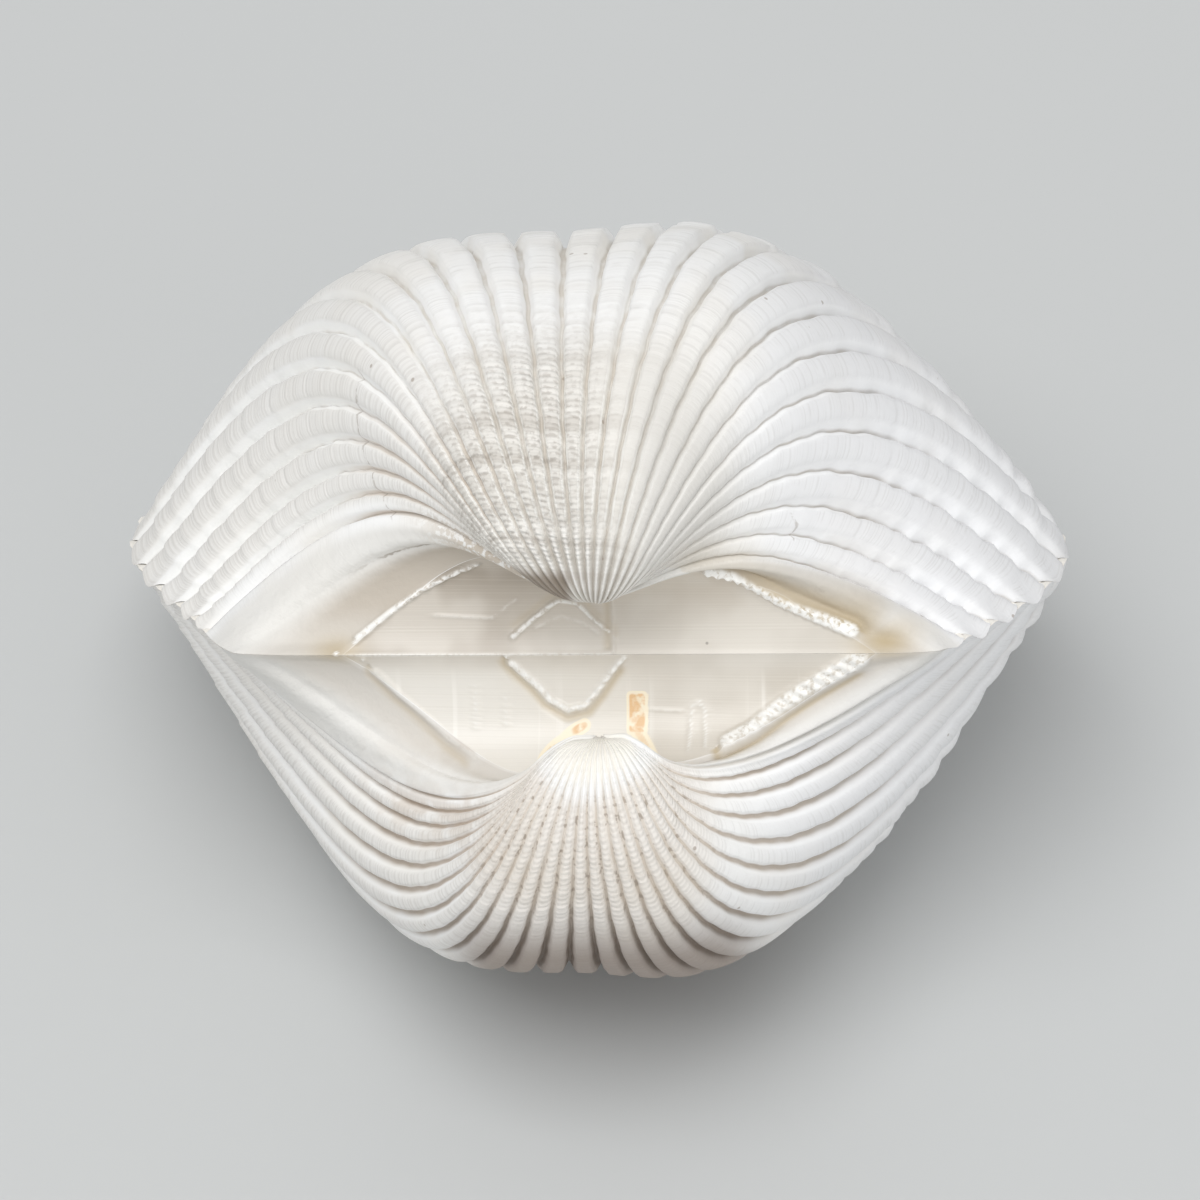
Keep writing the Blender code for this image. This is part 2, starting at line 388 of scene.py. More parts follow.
# %% [markdown]
# ## The cardinal area
# Between the two beaks lies the cardinal area, an eye-shaped flat track that the hinge line left
# as the shell grew. The ligament was fixed to it. Rough ridges run along its edges, and a small
# diamond, left of the beaks, marks where the ligament was thickest. Each mark is a line with a
# width and a height, placed by X along the hinge and Z up from it, and its relief is a smooth
# function of the distance to that line. Sculpting them would take as long and couldn't be changed.

# %% Distance to a line
def from_line(x, z, line):
    """Distance to a line of straight pieces, the share of its length where the nearest point is,
    and the distance with a sign: more than 0 on the line's left side."""
    start = np.array(line[:-1])
    step = np.diff(np.array(line), axis=0)
    length = np.hypot(step[:, 0], step[:, 1])
    before = np.cumsum(length) - length
    to_x = x[..., None] - start[:, 0]
    to_z = z[..., None] - start[:, 1]
    t = np.clip((to_x * step[:, 0] + to_z * step[:, 1]) / length ** 2, 0.0, 1.0)
    away = np.hypot(to_x - t * step[:, 0], to_z - t * step[:, 1])
    side = np.sign(step[:, 0] * to_z - step[:, 1] * to_x)
    nearest = away.argmin(axis=-1)[..., None]
    distance = np.take_along_axis(away, nearest, -1)[..., 0]
    share = np.take_along_axis(before + t * length, nearest, -1)[..., 0] / length.sum()
    return distance, share, distance * np.take_along_axis(side, nearest, -1)[..., 0]


one = np.array([1.0])
print("1 mm beside a line the distance is", from_line(one, one, [(0.0, 0.0), (2.0, 0.0)])[0])

# %% [markdown]
# The marks themselves. Every line is drawn so that its left side is the outer side, where some of
# them have a trench. "Beads" is the number of swellings along the line, and "white" is how much of
# the clean white edge the finish shows there; on the specks, the white is a painted glint.

# %% Marks on the cardinal area
UPPER_MARKS = {   # line of (X, Z); half widths at its start and end; height; beads; white; trench
    "right ridge": ([(7.0, 7.5), (9.2, 6.6), (12.6, 4.2), (15.4, 2.9), (18.0, 1.8)],
                    (0.10, 0.58), 0.42, 15, 0.9, 0.20),
    "left ridge": ([(-20.7, 1.2), (-18.1, 3.2), (-15.6, 5.0), (-12.6, 6.7), (-11.0, 7.5)],
                   (0.22, 0.08), 0.36, 9, 0.8, 0.0),
    "diamond": ([(-8.5, 1.3), (-7.1, 2.5), (-5.6, 3.7), (-4.9, 4.2), (-3.4, 4.0), (-2.4, 2.9),
                 (-1.0, 1.7)], (0.14, 0.05), 0.30, 5, 0.75, 0.06),
    "band in the diamond": ([(-6.7, 2.0), (-4.7, 2.9), (-3.0, 2.4), (-1.8, 1.6)],
                            (0.08, 0.08), 0.10, 0, 0.35, 0.0),
    "scratch": ([(-14.6, 2.9), (-10.2, 2.7), (-8.2, 4.3)], (0.05, 0.05), 0.09, 0, 0.4, 0.0),
    "suture": ([(-0.6, 0.2), (-0.6, 5.2)], (0.03, 0.03), 0.10, 0, 0.3, 0.10),
}
LOWER_MARKS = {
    "right band": ([(18.5, -0.5), (16.8, -1.5), (14.5, -2.8), (12.3, -4.2), (10.1, -5.8),
                    (8.0, -6.7)], (0.95, 0.35), 0.42, 12, 0.75, 0.20),
    "left edge": ([(-11.7, -8.1), (-13.9, -6.9), (-17.7, -3.6), (-19.4, -1.6)],
                  (0.10, 0.24), 0.14, 0, 0.3, 0.12),
    "diamond": ([(-0.1, -0.6), (-0.9, -1.6), (-2.1, -3.3), (-3.1, -4.4), (-4.4, -4.7), (-5.8, -3.9),
                 (-6.6, -2.9), (-7.7, -1.8), (-8.6, -0.8)], (0.10, 0.26), 0.34, 13, 0.8, 0.16),
    "scratch": ([(-11.7, -6.2), (-11.7, -2.8)], (0.04, 0.04), 0.07, 0, 0.5, 0.0),
    "second scratch": ([(-9.3, -5.9), (-9.3, -3.4)], (0.04, 0.04), 0.07, 0, 0.4, 0.0),
    "arch": ([(5.2, -7.2), (5.4, -4.4), (5.9, -3.9), (6.4, -4.6), (6.5, -7.0)],
             (0.05, 0.05), 0.09, 0, 0.6, 0.0),
    "cross scratch": ([(2.2, -4.6), (4.6, -4.7)], (0.04, 0.04), 0.05, 0, 0.35, 0.0),
}
# X and Z of a few small raised specks, painted white as glints.
SPECKS = ((-22.4, 0.1), (-20.3, -0.4), (-9.0, -0.2), (0.2, -0.3), (25.0, 0.6), (-20.9, 0.9))
print("marks:", ", ".join(UPPER_MARKS), "above;", ", ".join(LOWER_MARKS), "below")

# %% [markdown]
# The body of a mark is a smooth step of the distance to its line. Beads are a slanting sine along
# it, and a trench is a bell beside it, whose tan is partly painted shade. The hinge line itself has
# a fine lip where the edges of the two valves meet, made bright partly by painted highlight.

# %% Relief of the marks
BEAD_DEPTH = 0.45        # how far the line dips between two beads, as a share of its height
BEAD_SLANT = 4.0         # radians of a bead's wave per mm across the line
EDGE_SOFT = 0.22         # mm over which a mark's edge falls off
SPECK_HEIGHT = 0.16      # mm
SPECK_WIDTH = 0.2        # half width, in mm
TRENCH_AWAY = 0.45       # distance of a trench from the line's edge, in mm
TRENCH_WIDTH = 0.30      # half width, in mm
SEAM_HEIGHT = 0.06       # height of the lip along the hinge line, in mm


def area_marks(x, z, lower):
    """Relief in mm, whiteness, and the trenches' tan, which is partly painted shade in them, of all
    the marks of one valve.
    """
    relief = white = tan = 0.0 * x
    marks = LOWER_MARKS if lower else UPPER_MARKS
    for line, widths, height, beads, whiteness, trench in marks.values():
        away, share, signed = from_line(x, z, line)
        half = widths[0] + share * (widths[1] - widths[0])
        body = smooth(half + EDGE_SOFT, 0.5 * half, away)
        turned = math.tau * beads * share + BEAD_SLANT * signed
        beaded = 1.0 - BEAD_DEPTH * (0.5 - 0.5 * np.sin(turned)) * (beads > 0)
        relief = relief + height * body * beaded
        white = np.maximum(white, whiteness * body)
        ditch = bump(signed, half + TRENCH_AWAY, TRENCH_WIDTH) * (trench > 0.0)
        ditch = ditch * smooth(0.0, 0.08, share)
        relief = relief - trench * ditch
        # a trench's tan is partly its own colour and partly painted shade in it
        tan = np.maximum(tan, ditch * min(trench * 4.0, 1.0))
    for speck_x, speck_z in SPECKS:
        dot = bump(np.hypot(x - speck_x, z - speck_z), 0.0, SPECK_WIDTH)
        relief = relief + SPECK_HEIGHT * dot
        # the speck's white is a painted glint
        white = np.maximum(white, dot)
    return relief, white, tan


def seam(x, z):
    """The lip along the hinge line, fainter right of the beaks: height in mm, and whiteness, which
    is painted highlight along it.
    """
    strength = (1.0 - 0.6 * smooth(-2.0, 1.0, x)) * smooth(-24.0, -20.0, x)
    return SEAM_HEIGHT * bump(z, 0.0, 0.24) * strength, 0.6 * bump(z, 0.0, 0.14) * strength


print("the lip along the hinge line is", SEAM_HEIGHT, "mm high")

# %% [markdown]
# Outside the area, up to the first rib, the shell has no ribs. A hollow lies beside the area, then
# comes a crease where the hinge line's end has left its track, and then a gentle swelling with one
# faint groove, like two ribs that never quite formed.

# %% The smooth fields beside the area
FIELD_HOLLOW = 0.45      # depth of the hollow, in mm
FIELD_SWELL = 0.45       # height of the swelling
CREASE = 0.22            # depth of the crease
FAINT_GROOVE = 0.14      # depth of the groove on the swelling
FIELD_RIM_RIGHT = 0.04    # share of the rim at which the right field ends


def field_part(along, share, on_hinge):
    """How far across its field a point lies, from 0 at the area over 1 at the crease to 2 at the
    first rib; 0 elsewhere."""
    left_hinge = (AREA_LEFT - along) / (AREA_LEFT - HINGE_LEFT)
    left_rim = 1.0 + (1.0 - share) / (1.0 - FIRST_RIB_AT)
    right_hinge = (along - AREA_RIGHT) / (HINGE_RIGHT - AREA_RIGHT)
    right_rim = 1.0 + share / FIELD_RIM_RIGHT
    on_left = np.where(on_hinge, along < AREA_LEFT, share > 0.5)
    on_right = np.where(on_hinge, along > AREA_RIGHT, share < FIELD_RIM_RIGHT)
    left = np.where(on_hinge, left_hinge, left_rim)
    right = np.where(on_hinge, right_hinge, right_rim)
    part = np.where(on_left, left, np.where(on_right, right, 0.0))
    return np.clip(part, 0.0, 2.0), on_left | on_right


def field_relief(part, in_field, rows, x):
    """Half a sine down, a crease (left of the beaks only), half a sine up, a faint groove on it."""
    hollow = -FIELD_HOLLOW * np.sin(math.pi * np.clip(part, 0.0, 1.0))
    outer = np.clip(part - 1.0, 0.0, 1.0)
    swell = FIELD_SWELL * np.sin(math.pi * outer) - FAINT_GROOVE * bump(outer, 0.5, 0.18)
    crease = -CREASE * bump(part, 1.0, 0.10) * in_field * smooth(3.0, -3.0, x)
    return (hollow + swell + crease) * smooth(0.0, 0.15, rows)


print("the fields' hollow is", FIELD_HOLLOW, "mm deep and their swelling", FIELD_SWELL, "mm high")

# %% [markdown]
# ## What was left on the shell
# Traces of the ligament have stained the area amber next to the lower beak, a tan film has dried in
# the corners of the eye shape, and dirt sits in a few grooves. Painted shade, with some beige of
# its own, lies in the fields' hollows and in the trough along the right ridge. They are worked out
# here as numbers on the vertices, from 0 to 1, because their places are known in X and Z; the
# finishes read them.

# %% Stains, film, dirt and painted shade
AMBER_LOW = (0.35, -6.3)      # X and Z of the amber block's corners
AMBER_HIGH = (1.75, -3.3)
TRAIL = [(1.1, -6.2), (2.5, -8.0)]   # lines of (X, Z)
LEFT_TRACE = [(-6.2, -8.1), (-4.6, -6.6), (-3.1, -5.8)]
# painted shade, with some beige of its own, in the fields' hollows
HOLLOW_SHADE = 0.45              # strength of the fields' wash; it doubles beside the upper beak
FILM_CORNERS = (         # X and Z of the film's middle, its two half widths, and its strength
    (20.6, 0.9, 2.3, 1.3, 1.0), (-22.4, 0.3, 2.0, 1.1, 0.75))


def in_box(x, z, low, high, soft):
    """1 inside a box, falling to 0 over its soft edge."""
    in_x = smooth(low[0] - soft, low[0] + soft, x) * smooth(high[0] + soft, high[0] - soft, x)
    in_z = smooth(low[1] - soft, low[1] + soft, z) * smooth(high[1] + soft, high[1] - soft, z)
    return in_x * in_z


def amber(x, z):
    """Ligament stain: a block beside the lower beak, a trail below it and a trace to the left."""
    block = in_box(x, z, AMBER_LOW, AMBER_HIGH, 0.3)
    trail = 0.7 * smooth(0.75, 0.15, from_line(x, z, TRAIL)[0])
    trace_away, trace_share, _ = from_line(x, z, LEFT_TRACE)
    trace = smooth(0.7, 0.1, trace_away) * (0.62 + 0.3 * np.sin(9.0 * trace_share))
    return np.maximum(np.maximum(block, trail), trace)


def tan_film(x, z):
    """Dried film in both corners of the eye shape, and a band along the right ridge that is partly
    film and partly painted shade in the trough beside the ridge.
    """
    corners = [strength * bump(x, at_x, wide) * bump(z, at_z, high)
               for at_x, at_z, wide, high, strength in FILM_CORNERS]
    # the band is partly dried film and partly painted shade in the trough beside the ridge
    _, ridge_share, beside = from_line(x, z, UPPER_MARKS["right ridge"][0])
    band = (0.35 + 0.6 * ridge_share) * smooth(4.2, 0.2, beside) * smooth(-0.3, 0.3, beside)
    band = band * smooth(0.0, 1.5, z)
    return np.clip(np.maximum.reduce([*corners, band]), 0.0, 1.0)


def shade_and_tint_in_hollow(x, z, part, in_field):
    """Painted shade in the hollow of a field, with some beige of its own, stronger beside the upper
    beak, where the umbo shades it.
    """
    upper_left = smooth(0.5, 4.0, z) * smooth(0.0, -6.0, x)
    upper_right = smooth(2.0, 6.0, z) * smooth(2.0, 7.0, x) * smooth(17.0, 11.0, x)
    stronger = 1.0 + np.maximum(upper_left, upper_right)
    return HOLLOW_SHADE * stronger * smooth(1.08, 0.55, part) * in_field


CRACKS = (      # lines of (X, Z) on the upper valve
    [(-20.4, 22.0), (-20.6, 18.4), (-20.1, 15.9), (-19.2, 13.7), (-18.2, 12.0), (-17.5, 10.6)],
    [(13.5, 11.2), (13.9, 10.2), (13.7, 8.9)])


def crack_distance(x, z):
    """Signed distance to the nearest crack in mm, and 1 beside it but 0 past its ends."""
    signed = np.full(x.shape, 9.0)
    beside = 0.0 * x
    for line in CRACKS:
        away, share, side = from_line(x, z, line)
        nearer = away < np.abs(signed)
        signed = np.where(nearer, side, signed)
        ends = smooth(0.0, 0.06, share) * smooth(1.0, 0.94, share)
        beside = np.where(nearer, ends * (away < 3.0), beside)
    return signed, beside


print("amber block:", AMBER_LOW, "to", AMBER_HIGH, "mm")

# %% [markdown]
# ## Putting a valve together
# The outside grid gets its relief along its own normals. A flat toothed band at the margin and a
# plain inner wall close the mesh, so that it has real thickness and no open edge. The lower valve
# is the same surface with Z turned round, and its ribs are moved by half a rib, so that the ribs
# of one valve stand in the grooves of the other.

# %% Places of the outside
VALVE_GAP = 0.03         # mm between the valves at the rim
HINGE_GAP = 0.02         # and at the hinge
SCALLOP = 0.006          # how far growth lines bow out on each rib, in turns
JOG = 0.15               # how far a rib's edge steps sideways at a growth stop, in ribs
JOG_LEFT = 0.3           # share of that on the left flank, where it goes the other way
JOG_REACH = (0.22, 0.05)  # distance from a groove at which the steps end and are full, in ribs
WOBBLE = 0.018           # how far a rib's edge strays, in ribs
WOBBLE_WAVES = (23.0, 51.0)       # radians of its two waves per radian of turn
STRAY = rng.uniform(0.0, math.tau, (RIBS + 3, 2))   # where each rib's two waves begin
ROUND_YOUNG = 0.5        # how much of their rounding the hinge's corners have at the margin
# X of the hinge's end and of where its rounding begins, and the same as shares of the rim.
ROUNDED = ((HINGE_LEFT, -25.0, 1.0, 0.955), (HINGE_RIGHT, 20.8, 0.0, 0.050))


def margin_places(share, along, on_hinge):
    """Points of the margin, and their shrinking per radian, which is even along the hinge."""
    ends = tightness(np.array([0.0, 1.0]))
    part = (HINGE_RIGHT - along) / (HINGE_RIGHT - HINGE_LEFT)
    rates = np.where(on_hinge, ends[0] * (1.0 - part) + ends[1] * part, tightness(share))
    on_line = np.stack([along, 0.0 * along, 0.0 * along], axis=-1)
    return np.where(on_hinge[..., None], on_line, rim_point(share)), rates


def rounded_ends(points, share, along, on_hinge, turn):
    """Round the corners of the margin at the hinge's ends, more the older the shell is: the line
    and the rim are blended to a curve of the second degree with the corner as its handle."""
    for end, hinge_from, end_share, rim_to in ROUNDED:
        corner = np.array([end, 0.0, 0.0])
        start = np.array([hinge_from, 0.0, 0.0])
        stop = rim_point(np.array([rim_to]))[0]
        from_end = np.abs(along - end) / abs(hinge_from - end)
        round_rim = np.abs(share - end_share) / abs(rim_to - end_share)
        t = np.where(on_hinge, 0.5 * (1.0 - from_end), 0.5 + 0.5 * round_rim)[..., None]
        curve = start * (1 - t) ** 2 + corner * 2 * t * (1 - t) + stop * t ** 2
        rounding = ROUND_YOUNG + (1.0 - ROUND_YOUNG) * smooth(0.0, 0.25, turn)
        blend = (rounding * np.where(on_hinge, from_end < 1.0, round_rim < 1.0))[..., None]
        points = points * (1.0 - blend) + curve * blend
    return points


def sideways(rib, shift, rows, bow):
    """How far a rib's edges stray along the margin, in ribs: a step at each growth stop on the
    flanks, near the grooves, and two sines."""
    left, right = flanks(rib)
    near = smooth(0.75, 0.25, rows) * right - JOG_LEFT * smooth(0.5, 0.2, rows) * left
    near = near * smooth(*JOG_REACH, np.abs(rib - shift - np.round(rib - shift)))
    steps = JOG * (0.6 - np.sin(math.pi * step_phase(rows)[0])) * near
    stray = STRAY[np.clip(np.round(rib - shift).astype(int) + 1, 0, RIBS + 2)]
    waves = sum(np.sin(wave * rows + stray[..., i]) for i, wave in enumerate(WOBBLE_WAVES))
    return steps + WOBBLE * waves * (bow > 0.0) * bow


print("the valves stand", VALVE_GAP, "mm apart at the rim and", HINGE_GAP, "mm at the hinge")

# %% [markdown]
# Coiling the margin's points row by row gives the smooth growth surface. A hinge corner would leave
# a sharp fold all the way to the beak, so the corners are rounded before they are coiled.

# %% Growth surface of a valve
def growth_grid(shift):
    """The coiled margin as a grid in mm, its scale, and where each point lies: rib coordinate,
    share of the rim, place along the hinge, on the hinge or not, on the ribs or not."""
    rib, share, along, on_hinge = columns(shift)
    rows = row_turns()
    shape = (len(rib), len(rows))
    rib, along, on_hinge = (np.broadcast_to(v[:, None], shape) for v in (rib, along, on_hinge))
    on_ribs = smooth(0.2, 1.0, rib - shift + (shift > 0.0)) * smooth(RIBS, RIBS - 1.2, rib)
    bow = np.cos(math.tau * (rib - shift))
    turn = rows + SCALLOP * 0.5 * bow * on_ribs * smooth(0.0, 0.1, rows)
    strayed = rib + sideways(rib, shift, rows, bow) * on_ribs * smooth(0.0, 0.05, rows)
    share = np.where((rib >= -1.0) & (rib < RIBS), rim_share(strayed), share[:, None])
    margin, rates = margin_places(share, along, on_hinge)
    grid, scale = coil(rounded_ends(margin, share, along, on_hinge, turn), rates, turn)
    return grid, scale, rib, share, along, on_hinge, on_ribs


lengths = np.linalg.norm(np.diff(growth_grid(0.0)[0], axis=1), axis=2).sum(axis=1)
print("from margin to beak the shell is up to", lengths.max().round(), "mm long")

# %% [markdown]
# The relief is added along the grid's own normals. Then the lower beak gets its place and swelling,
# and the margin its teeth. What the finishes read, such as how old the shell is at a point or how
# deep it lies in a groove, is kept as numbers by name.

# %% Outside of a valve
FRONT_END = (24.0, 14.0)  # Y between which the stains and cracks of the hinge side end, in mm
BEAK_LIFT = 0.9          # how much nearer to the hinge the lower beak sits, in mm
BEAK_SWELL = 0.5         # swelling of the lower umbo, just below its tip, in mm
SHELL_LENGTH = 117.0     # mm along a rib, if the coil went on without end
SHELL_RATE = 0.6         # how fast its turns get shorter, per radian


def grid_normals(grid):
    """Unit normals of a grid that is closed in its first direction; the margin's lie level."""
    round_step = np.roll(grid, -1, axis=0) - np.roll(grid, 1, axis=0)
    normal = np.cross(np.gradient(grid, axis=1), round_step)
    normal = normal / np.maximum(np.linalg.norm(normal, axis=2, keepdims=True), 1e-9)
    normal[:, 0, 2] = 0.0
    normal[:, 0] /= np.linalg.norm(normal[:, 0], axis=1, keepdims=True)
    return normal


def outside(shift, lower):
    """Grid of the outside, in mm, and the values that the finishes read, by name."""
    grid, scale, rib, share, along, on_hinge, on_ribs = growth_grid(shift)
    rows = row_turns()
    age = 1.0 - scale
    x, z = grid[..., 0], grid[..., 2] * (-1.0 if lower else 1.0)
    groove = groove_profile(rib, shift, rows) * (rib >= -1.0)
    field, in_field = field_part(along, share, on_hinge)
    marks, white, trench = area_marks(x, z, lower)
    seam_relief, seam_highlight = seam(x, z)
    on_area = smooth(AREA_RIGHT + 0.3, AREA_RIGHT - 0.1, along) * on_hinge
    on_area = on_area * smooth(AREA_LEFT - 0.3, AREA_LEFT + 0.1, along)
    on_front = on_hinge * smooth(0.75, 0.6, age)
    relief = CROWN * rib_crown(rib, shift) * scale - groove_depth(rib, rows, scale, lower) * groove
    relief = relief + growth_steps(rib, rows, scale, on_ribs, lower) * (1.0 - 0.5 * groove)
    relief = relief + field_relief(field, in_field, rows, x)
    relief = relief + (marks + seam_relief * on_area) * on_front
    relief = relief + BEAK_SWELL * smooth(0.80, 0.90, age) * smooth(0.99, 0.93, age) * lower
    stain = amber(x, z) * on_front * lower
    film = tan_film(x, z)
    wash = shade_and_tint_in_hollow(x, z, field, in_field)
    crack, cracked = crack_distance(x, z)
    grid = grid + grid_normals(grid) * relief[..., None]
    grid[..., 2] -= BEAK_LIFT * smooth(0.72, 0.97, age) * lower
    teeth = tooth_height(rib[:, 0], on_ribs[:, 0]) * (-1.0 if lower else 1.0)
    from_margin = np.linalg.norm(grid - grid[:, :1], axis=2)
    grid[..., 2] += teeth[:, None] * np.exp(-(from_margin / TOOTH_FADE) ** 2)
    grid[:, 0, 2] = np.where(on_hinge[:, 0], HINGE_GAP, VALVE_GAP) / 2.0 + teeth
    hinge_side = smooth(*FRONT_END, grid[..., 1])
    return grid, {
        "growth": SHELL_LENGTH * (1.0 - np.exp(-SHELL_RATE * rows)) + 0.0 * rib,
        "groove": groove,
        "age": age,
        "ribbed": np.maximum(on_ribs, 0.4 * (field > 1.0)),
        "left": flanks(rib)[0] * on_ribs,
        "field": np.where(in_field, field, np.where(on_hinge, 0.0, 2.0)),
        "stain": stain,
        # film in the corners; the band along the right ridge and the trenches' tan are partly
        # painted shade
        "film": np.maximum(film * hinge_side, 0.9 * trench * on_front),
        # painted shade, with some beige of its own, in the fields' hollows
        "wash": wash,
        # whiteness of the marks, with painted glints on the specks and painted highlight along the
        # hinge lip
        "white": np.maximum(white, seam_highlight) * on_front,
        "crack": crack,
        "cracked": cracked * hinge_side * (not lower) * smooth(0.9, 0.8, age),
    }


print("the lower umbo swells by", BEAK_SWELL, "mm, and its beak sits", BEAK_LIFT, "mm higher")

# %% [markdown]
# The inner side is a plain wall. It could be a Solidify modifier, but that would carry the ribs
# through to the inside and fold at the beak. Drawing the margin in by the wall's thickness, and
# coiling it as far as the cavity goes, gives a smooth bowl instead.

# %% Inside of a valve
WALL_RIM = 4.2           # thickness at the rim, in mm
WALL_SIDES = 2.2         # how much thicker it is towards the hinge's ends
WALL_HINGE = 5.0         # thickness along the hinge
WALL_FADE = 0.75         # power of the scale with which the wall gets thinner
CAVITY_CENTRE = np.array([-4.0, 27.0, 0.0])
CAVITY_LEAST = 0.12      # least width of the cavity, as a share of the margin's
CAVITY_END = 2.05        # radians that the cavity goes in
INNER_ROWS = 7           # rows of the cavity's wall


def inside(shift, rim):
    """Inner wall: the margin drawn in by the wall's thickness, coiled as far as the cavity goes."""
    _, share, along, on_hinge = columns(shift)
    points, rates = margin_places(share, along, on_hinge)
    turn = np.linspace(0.0, CAVITY_END, INNER_ROWS)[None, :]
    _, scale = coil(points[:, None], rates[:, None], turn)
    reach = points - CAVITY_CENTRE
    length = np.linalg.norm(reach, axis=1)
    near_hinge = np.clip(1.0 - points[:, 1] / WALL_HINGE, 0.0, 1.0)
    wall = WALL_RIM + WALL_SIDES * (reach[:, 0] / length) ** 2
    wall = wall * (1.0 - near_hinge) + WALL_HINGE * length / CAVITY_CENTRE[1] * near_hinge
    width = 1.0 - wall[:, None] / scale ** WALL_FADE / length[:, None]
    drawn_in = CAVITY_CENTRE + reach[:, None] * np.maximum(width, CAVITY_LEAST)[..., None]
    grid, _ = coil(drawn_in, rates[:, None], turn)
    grid[:, 0, 2] = rim[:, 2]
    return grid


print("the wall is", WALL_RIM, "mm thick at the rim and", WALL_HINGE, "mm at the hinge")

# %% [markdown]
# Outside and inside become one list of points, ring by ring: from the beak out to the margin, and
# in again to the end of the cavity. One point closes each end. The values that the finishes read
# belong to the outside only, so they are 0 on the inner wall.

# %% A valve's vertices
def valve_points(shift, lower):
    """Vertices of one valve, ring by ring from the beak out and in again, the values on them, and
    the numbers of columns and rings."""
    outer, values = outside(shift, lower)
    inner = inside(shift, outer[:, 0])
    rings = np.concatenate([outer[:, ::-1], inner], axis=1)
    ends = BEAK[None], inner[:, -1].mean(axis=0)[None]
    points = np.concatenate([rings.transpose(1, 0, 2).reshape(-1, 3), *ends])
    rest = np.zeros(inner[..., 0].size + len(ends))
    values = {name: np.append(value[:, ::-1].T, rest) for name, value in values.items()}
    return points * np.array([1.0, 1.0, -1.0 if lower else 1.0]), values, *rings.shape[:2]


upper_made = valve_points(0.0, False)
lower_made = valve_points(0.5, True)
print("upper valve:", upper_made[2], "columns and", upper_made[3], "rings")

# %% [markdown]
# ## Lying down
# The closed pair rests on the round of its lower valve, which turns the hinge side up by about 32
# degrees. The mesh itself is turned, because a finished piece keeps its object at the origin.

# %% Pose and place
LEAN = math.radians(32.2)   # turns the hinge side up
ROLL = math.radians(-2.7)   # and raises the hinge's right end
LYING = np.array(Matrix.Rotation(ROLL, 3, "Y") @ Matrix.Rotation(-LEAN, 3, "X"))
both = np.concatenate([upper_made[0], lower_made[0]]) @ LYING.T
to_place = (CAD_LOW + CAD_HIGH) / 2.0 - (both.min(axis=0) + both.max(axis=0)) / 2.0
to_place[2] = CAD_LOW[2] - both[:, 2].min()


def placed(points):
    """From the shell's own millimetres to metres in the frame."""
    return (points @ LYING.T + to_place) / 1000.0


print("size of the pair in mm:", np.ptp(both, axis=0).round(1))

# %% [markdown]
# A mesh of quads between neighbouring rings is quick to make from arrays. The values that the
# finishes read go on as attributes, one number for each vertex. Each face also gets the number of
# its finish: the ribbed outside and the fields, the cardinal area, or the inner side.

# %% Faces and their finishes
OUTSIDE, AREA, INNER = 0, 1, 2


def valve_faces(count, rings, lower):
    """Vertex numbers of the quads ring by ring, of the beak's fan, and of the cavity's."""
    here = np.arange(count)
    there = (here + 1) % count
    ring = np.arange(rings - 1)[:, None] * count
    last = (rings - 1) * count
    quads = np.stack([ring + here, ring + there, ring + count + there, ring + count + here], -1)
    beak_fan = np.stack([0 * here + rings * count, there, here], -1)
    cavity_fan = np.stack([0 * here + rings * count + 1, last + here, last + there], -1)
    order = -1 if lower else 1       # the lower valve is a mirror image, so its faces are turned
    return [face for part in (quads.reshape(-1, 4), beak_fan, cavity_fan)
            for face in part[:, ::order].tolist()]


def face_finishes(shift, rings):
    """Number of the finish of each face, in the same order."""
    _, _, along, on_hinge = columns(shift)
    in_area = on_hinge & (along < AREA_RIGHT) & (along > AREA_LEFT)
    outer = np.where(in_area & np.roll(in_area, -1), AREA, OUTSIDE)
    inner = np.full((rings - len(turns)) * len(outer), INNER)
    return np.concatenate([np.tile(outer, len(turns) - 1), inner, outer, inner[:len(outer)]])


print("finishes by number: outside", OUTSIDE, "area", AREA, "inner side", INNER)

# %% [markdown]
# The margin is the one sharp edge, so its ring of edges is marked sharp. Everything else is shaded
# smooth.

# %% Meshes
def valve_object(name, points, values, count, rings, shift, lower):
    """One valve as an object, with its finishes' numbers and with the values as attributes."""
    mesh = bpy.data.meshes.new(name)
    mesh.from_pydata(placed(points), [], valve_faces(count, rings, lower))
    mesh.shade_smooth()
    finishes = face_finishes(shift, rings)
    mesh.polygons.foreach_set("material_index", finishes.astype(np.int32))
    ends = np.empty(len(mesh.edges) * 2, dtype=np.int32)
    mesh.edges.foreach_get("vertices", ends)
    margin_ring = ends.reshape(-1, 2) // count == len(turns) - 1
    mesh.edges.foreach_set("use_edge_sharp", margin_ring.all(axis=1))
    for label, value in values.items():
        attribute = mesh.attributes.new(label, "FLOAT", "POINT")
        attribute.data.foreach_set("value", value.astype(np.float32))
    own = mesh.attributes.new("own_place", "FLOAT_VECTOR", "POINT")
    own.data.foreach_set("vector", points.astype(np.float32).ravel())
    valve = bpy.data.objects.new(name, mesh)
    bpy.context.scene.collection.objects.link(valve)
    print(name, "has", 2 * count * rings, "triangles")
    return valve


upper = valve_object("upper_valve_shell", *upper_made, 0.0, False)
lower = valve_object("lower_valve_shell", *lower_made, 0.5, True)

# %% [markdown]
# ## Finishes
# The shell is aragonite, a calcium carbonate that the animal laid down in layers. Its thin brown
# skin is worn away, so the outside is bleached and chalky. Colours are written as sRGB hex values,
# as in a paint program, and one function turns them to the linear values that Blender's sockets
# hold. Another one adds a node, sets it and links it.

# %% Helpers for finishes
SHELL_IOR = 1.58         # aragonite is 1.53 to 1.69


